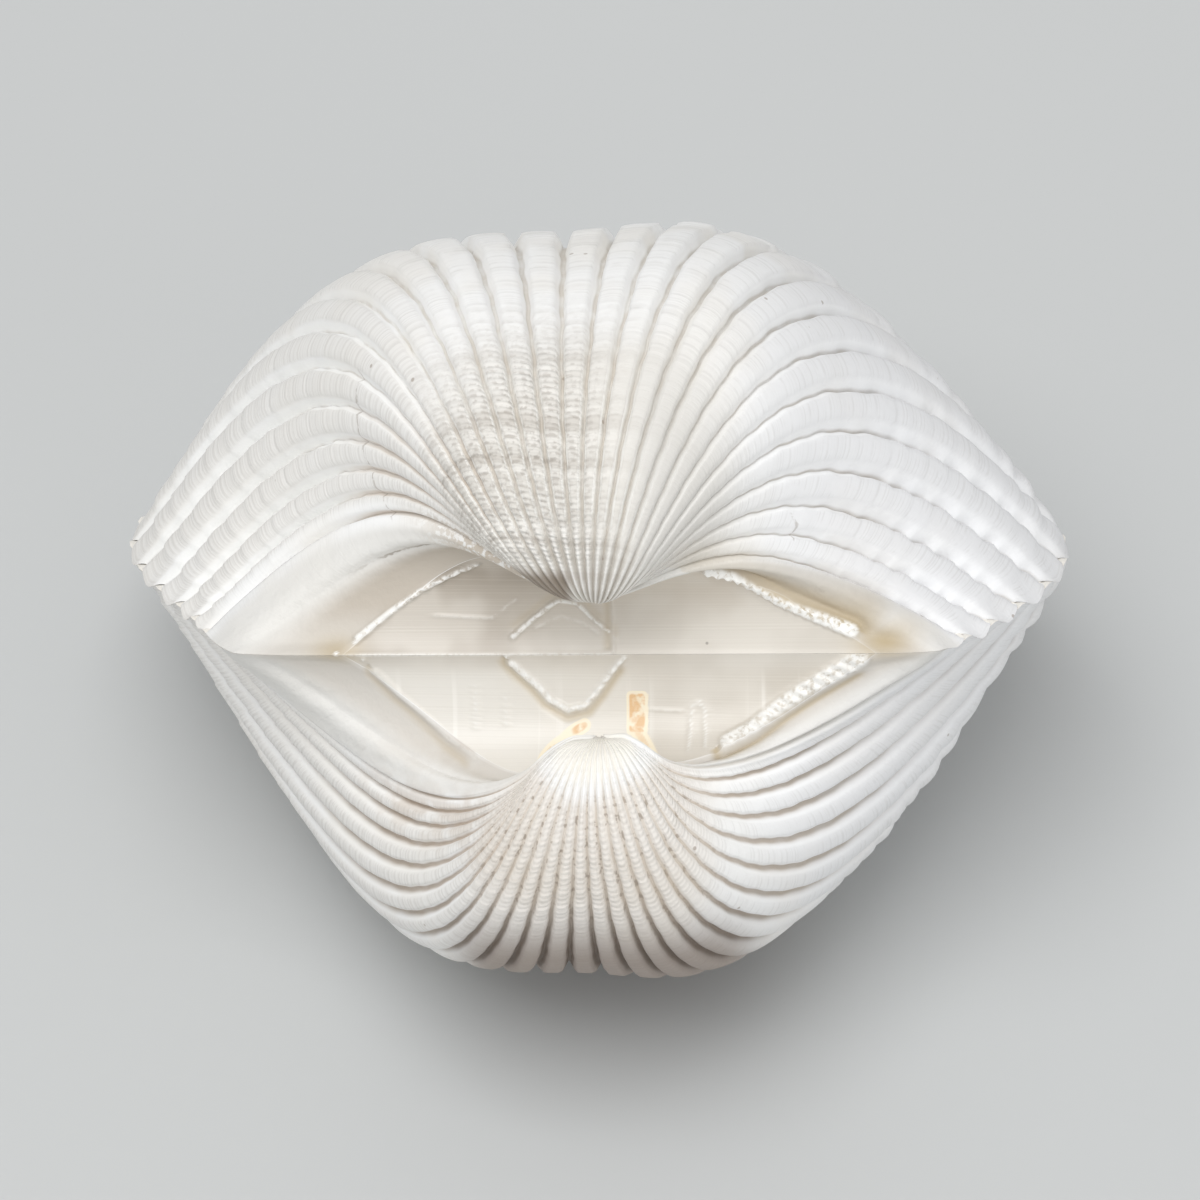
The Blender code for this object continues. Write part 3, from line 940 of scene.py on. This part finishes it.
def linear(hex_colour):
    """sRGB hex string to linear RGBA."""
    parts = np.array([int(hex_colour[i:i + 2], 16) for i in (1, 3, 5)]) / 255.0
    out = np.where(parts <= 0.04045, parts / 12.92, ((parts + 0.055) / 1.055) ** 2.4)
    return (*out.tolist(), 1.0)


def add_node(tree, kind, inputs, out=None, **settings):
    """Add a node and give its output socket. Inputs are values, or other sockets to link."""
    node = tree.nodes.new("ShaderNode" + kind)
    for name, value in settings.items():
        setattr(node, name, value)
    for name, value in inputs.items():
        named = (s for s in node.inputs if s.enabled and s.name == name)
        socket = node.inputs[name] if isinstance(name, int) else next(named)
        if isinstance(value, bpy.types.NodeSocket):
            tree.links.new(value, socket)
        else:
            socket.default_value = value
    return next(s for s in node.outputs if s.enabled and (out is None or s.name == out))


def new_material(name, roughness, ior=SHELL_IOR):
    """Material with its node tree and its Principled shader."""
    material = bpy.data.materials.new(name)
    material.use_nodes = True
    shader = material.node_tree.nodes["Principled BSDF"]
    shader.inputs["Roughness"].default_value = roughness
    shader.inputs["IOR"].default_value = ior
    return material, material.node_tree, shader


def own_values(tree, names):
    """Sockets of the numbers that the mesh carries."""
    return [add_node(tree, "Attribute", {}, "Fac", attribute_name=n) for n in names.split()]


def own_place(tree):
    """The place in the shell's own millimetres, its X along the hinge and its Z up."""
    place = add_node(tree, "Attribute", {}, "Vector", attribute_name="own_place")
    return place, *(add_node(tree, "SeparateXYZ", {"Vector": place}, axis) for axis in "XZ")


print("middle grey is", round(linear("#808080")[0], 3), "in linear values")

# %% [markdown]
# A finish is built like paint: a ground colour, and layers over it, each with a mask from 0 to 1.
# A mask is a product of steps, and a step is a pattern or one of the mesh's numbers, brought to
# the wanted range by a Map Range node: (height, 8, 12) rises with the height from 8 to 12 mm, and
# (height, 12, 8) falls. Pattern scales are in 1/mm, because the patterns read millimetres.

# %% Masks and layers
def mask(tree, *steps, top=1.0):
    """Product of the steps. A step (value, low, high) rises smoothly from 0 at low to 1 at high,
    the first one to top. Any other step is a mask already and is taken as it is."""
    product = None
    for step in steps:
        if isinstance(step, tuple):
            ends = dict(zip(("Value", "From Min", "From Max", "To Max"), (*step, top)))
            step = add_node(tree, "MapRange", ends, interpolation_type="SMOOTHSTEP")
            top = 1.0
        both = {0: product, 1: step}
        product = add_node(tree, "Math", both, operation="MULTIPLY") if product else step
    return product


def away_from(tree, value, centre):
    """|value - centre|."""
    away = add_node(tree, "Math", {0: value, 1: centre}, operation="SUBTRACT")
    return add_node(tree, "Math", {0: away}, operation="ABSOLUTE")


def paint(tree, shader, ground, layers, relief):
    """Mix the layers (colour, strength, steps of its mask) over the ground colour, in order, and
    add the relief, whose heights are in mm, as bump."""
    colour = linear(ground)
    for hex_colour, strength, *steps in layers:
        ends = {"Factor": mask(tree, *steps, top=strength), "A": colour, "B": linear(hex_colour)}
        colour = add_node(tree, "Mix", ends, data_type="RGBA")
    normal = add_node(tree, "Bump", {"Height": relief, "Distance": 0.001})
    tree.links.new(colour, shader.inputs["Base Color"])
    tree.links.new(normal, shader.inputs["Normal"])
    print("ground", ground, "and", len(layers), "layers over it")


print("a step from 8 to 12 gives", smooth(8.0, 12.0, np.array([8.0, 9.0, 10.0, 12.0])))

# %% [markdown]
# ### The ribbed outside
# Common name: bleached ark shell. The sea and the sun have taken its skin and left matt, faintly
# cream aragonite. To the eye that is a soft white with no gloss, a cool grey where fine growth
# lines roughen a rib's face, clean white on the smooth walls, with painted highlight on the left
# flank's broad walls, and darker grooves with beige dust in patches.

# %% Bleached aragonite: white, growth bands and growth lines
ROUGH_EDGE = 0.22        # how far growth lines fray the edge of a rib's face, in shares of a wall
CHALKY = 0.58            # roughness, typically 0.5 to 0.7
outside_finish, tree, outside_shader = new_material("bleached_ark_aragonite", CHALKY)
place, across, height = own_place(tree)
growth, groove, age, ribbed, left_side = own_values(tree, "growth groove age ribbed left")
clouds, patches, mottle, grain = (
    add_node(tree, "TexNoise", {"Vector": place, "Scale": scale, "Detail": detail})
    for scale, detail in ((0.10, 2.0), (0.45, 3.0), (2.2, 2.0), (1.7, 3.0)))
bands, lines, rings = (
    add_node(tree, "TexNoise", {"W": growth, "Scale": scale, "Detail": detail},
             noise_dimensions="1D")
    for scale, detail in ((0.30, 2.0), (1.9, 2.0), (0.55, 1.0)))
frayed = add_node(tree, "Math", {0: lines, 1: ROUGH_EDGE, 2: groove}, operation="MULTIPLY_ADD")
face = mask(tree, (frayed, 0.40, 0.14), ribbed)
patchy_face = mask(tree, (patches, 0.36, 0.56), face)
on_left_face = mask(tree, (left_side, 0.1, 0.9), face, top=0.7)
outside_layers = [
    ("#f0ede7", 0.60, (clouds, 0.42, 0.62)),
    ("#f1f2f5", 0.55, (across, 4.0, 22.0)),
    ("#dadadc", 0.40, (across, 7.0, 16.0), face),
    ("#d3d1cc", 0.20, (bands, 0.50, 0.66), (across, 12.0, 2.0), patchy_face),
    ("#bfbdb9", 0.20, (lines, 0.48, 0.64), patchy_face),
    ("#e8e6e2", 1.00, on_left_face),
    ("#c9c5bf", 0.45, (lines, 0.42, 0.62), on_left_face),
]
print(len(outside_layers), "layers on the ribs' faces")

# %% [markdown]
# Near the beaks is the oldest shell, which has been worn the longest. There fine threads cross the
# ribs. Left of the upper beak and halfway down the lower valve, grey dirt fills the pits between
# them, in patches. A noise stirs the threads' wave, because an even one looks machined.

# %% Bleached aragonite: threads and pits
THREAD_GAP = 0.62                         # mm from thread to thread
STIR = 2.6                                # radians by which a noise moves them
stirred = add_node(tree, "Math", {0: patches, 1: STIR}, operation="MULTIPLY")
angle = {0: growth, 1: math.tau / THREAD_GAP, 2: stirred}
angle = add_node(tree, "Math", angle, operation="MULTIPLY_ADD")
wave = add_node(tree, "Math", {0: angle}, operation="SINE")
umbo = mask(tree, (age, 0.60, 0.80), ribbed)
umbo_left = mask(tree, (across, 4.0, -5.0), (height, 8.0, 12.0), umbo)
low_middle = mask(tree, (across, 12.0, 6.0), (across, -17.0, -10.0))
halfway = (age, 0.64, 0.85), (age, 0.925, 0.89), (height, -6.0, -8.0)
halfway = mask(tree, *halfway, low_middle, top=0.5)
thready = add_node(tree, "Math", {0: umbo_left, 1: halfway}, operation="MAXIMUM")
on_threads = mask(tree, (thready, 0.0, 1.0), (groove, 0.60, 0.20), ribbed)
pits = mask(tree, (mottle, 0.38, 0.62), on_threads)
print("threads", THREAD_GAP, "mm apart")

# %% [markdown]
# The grooves are darker: beige dust lies in them in patches, and they are browner on the lower
# valve, with painted shade near its margin. By the upper beak the ribs have painted highlight on
# their crests and edges and painted shade on their walls, and on the left flank painted highlight
# lies on the broad walls. The upper umbo has darker rings, its left side is dirty, a painted shadow
# lies under it down to the beak, and the tip of the lower beak is clean.

# %% Bleached aragonite: dust, dirt and painted light
film, white, field, wash, crack, cracked = own_values(tree, "film white field wash crack cracked")
lower_side = (height, -0.3, -1.6)
umbo_above = mask(tree, (height, 2.0, 5.0), umbo)
umbo_right = mask(tree, (across, 0.0, 5.0), umbo_above)
tip_light_and_shade = mask(tree, (age, 0.85, 0.90), umbo_above)
shade_under_beak = mask(tree, (across, -2.2, -3.6), (age, 0.80, 0.87), (height, 10.2, 8.4), umbo_above)
ringed = mask(tree, (across, 6.0, -3.0), (height, 6.0, 10.0), umbo)
below = mask(tree, lower_side, (across, 30.0, 4.0), (age, 0.95, 0.66))
rim_groove_shade = mask(tree, lower_side, (age, 0.30, 0.08), ribbed)
# painted shade and brown dirt, darker towards the lowest point of the lower valve
lowest = mask(tree, (height, -16.0, -26.0), low_middle)
beak_below = mask(tree, (height, -3.0, -5.0), (age, 0.90, 0.95), ribbed)
rib_edge_highlight = mask(tree, (groove, 0.02, 0.12), (groove, 0.60, 0.30), (age, 0.88, 0.84), umbo_above)
outside_layers += [
    ("#d8d4cc", 0.80, (umbo_above, 0.0, 1.0)),
    ("#b8b0a6", 0.38, (rings, 0.50, 0.64), ringed),
    ("#efece6", 0.50, (rings, 0.46, 0.36), ringed),
    # painted shade on the ribs' walls by the tip of the upper beak
    ("#b7b1a7", 0.50, (groove, 0.12, 0.45), tip_light_and_shade),
    ("#c6c2bb", 0.50, (groove, 0.60, 1.0), (left_side, 1.2, 0.2)),
    # painted highlight on the left flank's broad walls, near the upper valve's margin
    ("#f7f7f5", 0.80, (groove, 0.16, 0.40), (left_side, 0.3, 0.9), (age, 0.62, 0.45),
     (height, -0.2, 0.6)),
    ("#a9a7a6", 0.22, (groove, 0.65, 1.0), (across, 6.0, 16.0)),
    ("#b3a48f", 0.30, (groove, 0.75, 1.0), (patches, 0.34, 0.60)),
    ("#c2ae97", 0.45, (groove, 0.08, 0.60), (across, -23.0, -18.0), (across, -7.0, -11.0),
     (height, 8.0, 11.0), (height, 22.0, 15.0)),
    ("#a38f7a", 0.62, (groove, 0.30, 1.0), below),
    # painted shade in the lower valve's grooves near its margin
    ("#8f857c", 0.50, (groove, 0.12, 0.60), rim_groove_shade),
    ("#c3b2a0", 0.40, (patches, 0.34, 0.58), (across, -23.0, -18.0), (across, -8.0, -13.0),
     (height, -5.5, -8.0), (height, -17.0, -12.0)),
    # painted highlight along the rib edges of the upper umbo
    ("#f8f7f3", 0.75, (rib_edge_highlight, 0.0, 1.0)),
    ("#d3d1cd", 0.55, (umbo_right, 0.0, 1.0)),
    ("#a0988e", 0.42, (wave, 0.5, -0.9), pits),
    ("#aaa299", 0.28, (mottle, 0.46, 0.64), umbo_left),
    # painted highlight on the rib crests by the tip of the upper beak
    ("#fbfaf7", 0.45, (groove, 0.09, 0.0), tip_light_and_shade),
]
print(len(outside_layers), "layers with the dust")

# %% [markdown]
# Over the dust lie the marks of single events and some painted light: a painted shadow under one
# old growth step across the upper umbo, painted shade and brown dirt at the lowest point, a few
# dark specks, two cracks, and the dirt in the crease of the smooth field. A line is drawn where a
# mesh's number is close to a value, and a noise makes it uneven.

# %% Bleached aragonite: marks, cracks, painted shade and the smooth fields
# the dark line under the old growth step is a painted shadow
OLD_STEP_SHADOW_AT = 80.9       # mm of growth at which the dark line lies
SPECK_CELLS = {"Vector": place, "Scale": 0.33}      # one speck in some of the cells, 3 mm wide
old_step_shadow = away_from(tree, growth, OLD_STEP_SHADOW_AT)
rough_field = add_node(tree, "Math", {0: mottle, 1: 0.12, 2: field}, operation="MULTIPLY_ADD")
crease = away_from(tree, rough_field, 1.06)
creased = (age, 0.26, 0.42), (patches, 0.36, 0.52), (height, -4.0, 0.0), (across, 0.0, -6.0)
on_field = mask(tree, (field, 0.02, 0.10), (field, 1.95, 1.5))
worn = ((age, 0.50, 0.72), (ribbed, 0.9, 0.4))
old_field = mask(tree, *worn, (height, 2.0, 4.0), (across, 0.0, -3.0))
rough_crack = add_node(tree, "Math", {0: patches, 1: 0.9, 2: crack}, operation="MULTIPLY_ADD")
crack_away = away_from(tree, rough_crack, 0.45)
cells = add_node(tree, "TexVoronoi", SPECK_CELLS, "Distance")
cell_colour = {"Color": add_node(tree, "TexVoronoi", SPECK_CELLS, "Color")}
few = (add_node(tree, "SeparateColor", cell_colour, "Red"), 0.60, 0.62)
outside_layers += [
    # painted shadow under the old growth step across the upper umbo
    ("#9a9288", 0.40, (old_step_shadow, 0.36, 0.08), (mottle, 0.36, 0.60), (across, -1.5, -4.0),
     (height, 13.0, 15.0), umbo_left),
    ("#dccfbf", 0.40, (halfway, 0.0, 0.5)),
    ("#8f8071", 1.20, (mottle, 0.54, 0.64), (groove, 0.25, 0.7), halfway),
    # painted shade and brown dirt towards the lowest point, darkest in the grooves
    ("#8c7b6e", 0.85, (lowest, 0.0, 1.0)),
    ("#64564a", 0.65, (groove, 0.25, 0.9), lowest),
    ("#faf7ee", 0.70, (beak_below, 0.0, 1.0)),
    # painted shadow under the left side of the upper umbo, down to the beak
    ("#8b7e70", 0.92, (shade_under_beak, 0.0, 1.0)),
    ("#8a7765", 0.55, (cells, 0.075, 0.04), few),
    ("#8d7f71", 0.42, (crack_away, 0.11, 0.03), (mottle, 0.34, 0.56), cracked),
    ("#dddbd6", 0.75, (on_field, 0.0, 1.0)),
    ("#cdcbc8", 0.75, (across, 8.0, 14.0), (height, 2.0, 4.0), on_field),
    ("#bfb2a0", 0.80, (mottle, 0.62, 0.46), old_field),
    # painted shade, with some beige of its own, in the fields' hollows, strongest beside the upper
    # beak
    ("#bcb2a4", 1.00, wash),
    # dried film in the corners; along the right ridge and in the trenches it is partly painted
    # shade
    ("#b9a888", 1.00, film),
    ("#8d8172", 0.65, (crease, 0.045, 0.01), *creased),
    # white of the marks, with painted glints on the specks and painted highlight along the hinge
    # lip
    ("#f7f6f2", 1.00, (white, 0.1, 0.9), (mottle, 0.28, 0.52)),
]
print(len(outside_layers), "layers in all")

# %% [markdown]
# Relief finer than the mesh goes in as bump: growth lines 0.4 mm apart on the ribs' faces, threads
# 0.6 mm apart near the beaks, lumps on the fields, and a chalky grain. Heights are in mm, and a
# Bump distance of 1 mm turns them to metres. Real growth lines are a quarter as wide; at this size
# they would vanish.

# %% Bleached aragonite: fine relief
LINE_HEIGHT = 0.055      # mm
THREAD_HEIGHT = 0.035    # mm
GRAIN_HEIGHT = 0.045     # mm
LUMP_HEIGHT = 0.30       # mm
relief = add_node(tree, "Math", {0: grain, 1: GRAIN_HEIGHT}, operation="MULTIPLY")
for pattern, where in (
        (lines, mask(tree, (across, 20.0, 2.0), face, top=LINE_HEIGHT)),
        (wave, mask(tree, (on_threads, 0.0, 1.0), top=THREAD_HEIGHT)),
        (patches, mask(tree, (field, 0.1, 1.0), (field, 2.0, 1.2), top=LUMP_HEIGHT))):
    relief = add_node(tree, "Math", {0: pattern, 1: where, 2: relief}, operation="MULTIPLY_ADD")
paint(tree, outside_shader, "#f5f5f4", outside_layers, relief)

# %% [markdown]
# ### The cardinal area
# Denser aragonite that the ligament covered, so it was never bleached. It was laid down along the
# hinge, line by line, and rubbed smooth: a warm beige-grey with a satin sheen, fine lines parallel
# to the hinge, and a few white streaks across them.
# Part of its colour is painted light: shade under the upper beak and on the upper valve's half, and
# light on the lower valve's half.

# %% Satin aragonite
FLECK = (6.7, 0.0, 0.8)      # X and Z of one dark fleck, in mm
AREA_LINE_HEIGHT = 0.008     # mm
RUBBED_SMOOTH = 0.36         # roughness, typically 0.3 to 0.4
area_finish, tree, area_shader = new_material("satin_ligament_area_aragonite", RUBBED_SMOOTH)
place, across, height = own_place(tree)
growth, film, stain, white = own_values(tree, "growth film stain white")
clouds, blots, crumbs = (
    add_node(tree, "TexNoise", {"Vector": place, "Scale": scale, "Detail": detail})
    for scale, detail in ((0.16, 2.0), (1.1, 3.0), (2.6, 2.0)))
lines, streaks = (
    add_node(tree, "TexNoise", {"W": along, "Scale": scale, "Detail": detail},
             noise_dimensions="1D")
    for along, scale, detail in ((growth, 0.9, 2.0), (across, 0.7, 3.0)))
flat_place = add_node(tree, "CombineXYZ", {"X": across, "Z": height})
fleck = add_node(tree, "VectorMath", {0: flat_place, 1: FLECK}, "Value", operation="DISTANCE")
upper_area_shade = mask(tree, (across, -1.0, -12.0), (height, -0.2, 0.4))
lower_area_light = mask(tree, (across, 6.0, -4.0), (height, -0.2, -2.5))
area_layers = [
    # painted shade, darker towards the upper beak, which overhangs the area
    ("#cec2b2", 0.50, (height, 1.0, 6.0)),
    # painted shade: the upper valve's half of the area faces down, away from the light
    ("#b5aca0", 0.85, (upper_area_shade, 0.0, 1.0)),
    # painted shadow under the left side of the upper umbo
    ("#9f9384", 0.65, (height, 3.5, 7.5), (across, -2.0, -4.5)),
    # painted light: the lower valve's half of the area faces up to the light
    ("#eeebe4", 0.70, (lower_area_light, 0.0, 1.0)),
    ("#c8c0b3", 0.55, (across, 4.0, 14.0), (height, -0.2, -2.0)),
    ("#e4dfd6", 0.40, (clouds, 0.42, 0.62)),
    ("#eeeae1", 0.12, (lines, 0.50, 0.70)),
    ("#c2b9ab", 0.08, (lines, 0.46, 0.30)),
    ("#f8f5ef", 0.40, (streaks, 0.58, 0.72), (height, -0.6, -4.0)),
    # dried film in the corners; along the right ridge and in the trenches it is partly painted
    # shade
    ("#bdab88", 1.00, film),
    ("#f6ebd2", 0.90, (stain, 0.08, 0.30)),
    ("#e3b986", 0.90, (stain, 0.55, 0.85), (blots, 0.36, 0.56)),
    # white of the marks, with painted glints on the specks and painted highlight along the hinge
    # lip
    ("#f4f3ef", 1.00, (white, 0.1, 0.9), (crumbs, 0.30, 0.56)),
    ("#776f68", 0.60, (fleck, 0.16, 0.06)),
]
relief = add_node(tree, "Math", {0: lines, 1: AREA_LINE_HEIGHT}, operation="MULTIPLY")
paint(tree, area_shader, "#d4cec4", area_layers, relief)

# %% [markdown]
# ### The inner side
# Porcelain-like aragonite, which the animal's mantle kept polished. It is hidden while the valves
# are closed, so one plain colour is enough.

# %% Porcelain-like inner side
inner_finish, _, inner_shader = new_material("inner_porcelain_aragonite", 0.32)
inner_shader.inputs["Base Color"].default_value = linear("#f0ece4")
for valve in (upper, lower):
    for finish in (outside_finish, area_finish, inner_finish):
        valve.data.materials.append(finish)
print("finishes:", [finish.name for finish in upper.data.materials])

# %% [markdown]
# ## Riding on the frame
# Both valves belong to the one body, and each hides the coarse solid that it stands for.

# %% Ride and replace
for valve, node_name in ((upper, "upper_valve"), (lower, "lower_valve")):
    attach(valve, "root")
    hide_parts(node_name)
    print(valve.name, "rides on root and stands for", node_name)

# %% [markdown]
# ## The studio
# The floor is one large square of pale matt paper, level with the lowest point of the shell. A
# curved backdrop isn't needed, because the camera looks down on it.

# %% Floor
FLOOR_SIZE = 4.0         # m
corners = np.array([(-1, -1, 0), (1, -1, 0), (1, 1, 0), (-1, 1, 0)]) * FLOOR_SIZE / 2.0
floor_mesh = bpy.data.meshes.new("floor")
floor_mesh.from_pydata(corners, [], [(0, 1, 2, 3)])
floor = bpy.data.objects.new("floor", floor_mesh)
floor.location.z = CAD_LOW[2] / 1000.0
bpy.context.scene.collection.objects.link(floor)
paper, _, paper_shader = new_material("pale_backdrop_paper", 0.9, ior=1.5)
paper_shader.inputs["Base Color"].default_value = linear("#c6c8c8")
floor.data.materials.append(paper)
print("the floor is", FLOOR_SIZE, "m wide, at height", floor.location.z)

# %% [markdown]
# A white shell needs soft light, or it has no shape: one large lamp above and in front, a weaker
# one from the right to open the shadows under the lower valve, and a faint low one from the left.
# The world gives the rest. All of it stays low enough that the palest ribs don't clip to white.

# %% Light
LAMP_AIM = Vector((0.0, 0.0, 0.03))   # the shell's middle, in m
LAMPS = {   # place, size in metres, power in watts
    "key_softbox": ((-0.10, -0.30, 1.00), 0.7, 6.0),
    "fill_softbox": ((0.72, -0.68, 0.16), 0.8, 2.2),
    "low_softbox": ((-0.84, -0.44, 0.16), 0.6, 0.7),
}
WORLD_STRENGTH = 0.58
for name, (lamp_place, size, power) in LAMPS.items():
    data = bpy.data.lights.new(name, "AREA")
    data.size = size
    data.energy = power
    lamp = bpy.data.objects.new(name, data)
    lamp.location = lamp_place
    lamp.rotation_euler = (lamp.location - LAMP_AIM).to_track_quat("Z", "Y").to_euler()
    bpy.context.scene.collection.objects.link(lamp)
world = bpy.data.worlds.new("studio")
bpy.context.scene.world = world
world.use_nodes = True
sky = world.node_tree.nodes["Background"].inputs
sky["Color"].default_value = (1.0, 1.0, 1.0, 1.0)
sky["Strength"].default_value = WORLD_STRENGTH
bpy.context.scene.view_settings.view_transform = "Standard"
print("lamps:", ", ".join(LAMPS), "and a world of strength", WORLD_STRENGTH)

# %% [markdown]
# The camera looks at the hinge side almost along the plane where the valves meet. It stands a
# metre away with a long lens, which flattens the shell as in a close view with a tele lens. Its
# three axes are worked out in the shell's own frame and then turned with the shell.

# %% Camera
CAMERA_RISE = math.radians(16.5)      # above the plane where the valves meet
CAMERA_TURN = math.radians(6.435)   # to the right of straight in front
CAMERA_ROLL = math.radians(-2.077)   # about the line of sight
CAMERA_AWAY = 1000.0                  # mm
CAMERA_AIM = (0.0, 20.0, 0.0)         # mm, in the shell's own frame
OFF_CENTRE = (-3.7, -1.5)             # mm by which the view is moved to the right and up from it
LENS = 378.0             # mm, for a frame 36 mm wide
back = np.array([math.sin(CAMERA_TURN) * math.cos(CAMERA_RISE),
                 -math.cos(CAMERA_TURN) * math.cos(CAMERA_RISE), math.sin(CAMERA_RISE)])
level = np.array([math.cos(CAMERA_TURN), math.sin(CAMERA_TURN), 0.0])
rise = np.cross(back, level)
right = level * math.cos(CAMERA_ROLL) + rise * math.sin(CAMERA_ROLL)
up = -level * math.sin(CAMERA_ROLL) + rise * math.cos(CAMERA_ROLL)
aim = np.array(CAMERA_AIM) + OFF_CENTRE[0] * right + OFF_CENTRE[1] * up
pose = np.eye(4)
pose[:3, :3] = LYING @ np.stack([right, up, back], axis=1)
pose[:3, 3] = placed(aim + CAMERA_AWAY * back)
camera_data = bpy.data.cameras.new("camera")
camera_data.lens = LENS
camera_data.sensor_width = 36.0
camera = bpy.data.objects.new("camera", camera_data)
camera.matrix_world = Matrix(pose.tolist())
bpy.context.scene.collection.objects.link(camera)
bpy.context.scene.camera = camera
print("the camera looks down by", round(math.degrees(math.asin(pose[2, 2])), 1), "degrees")
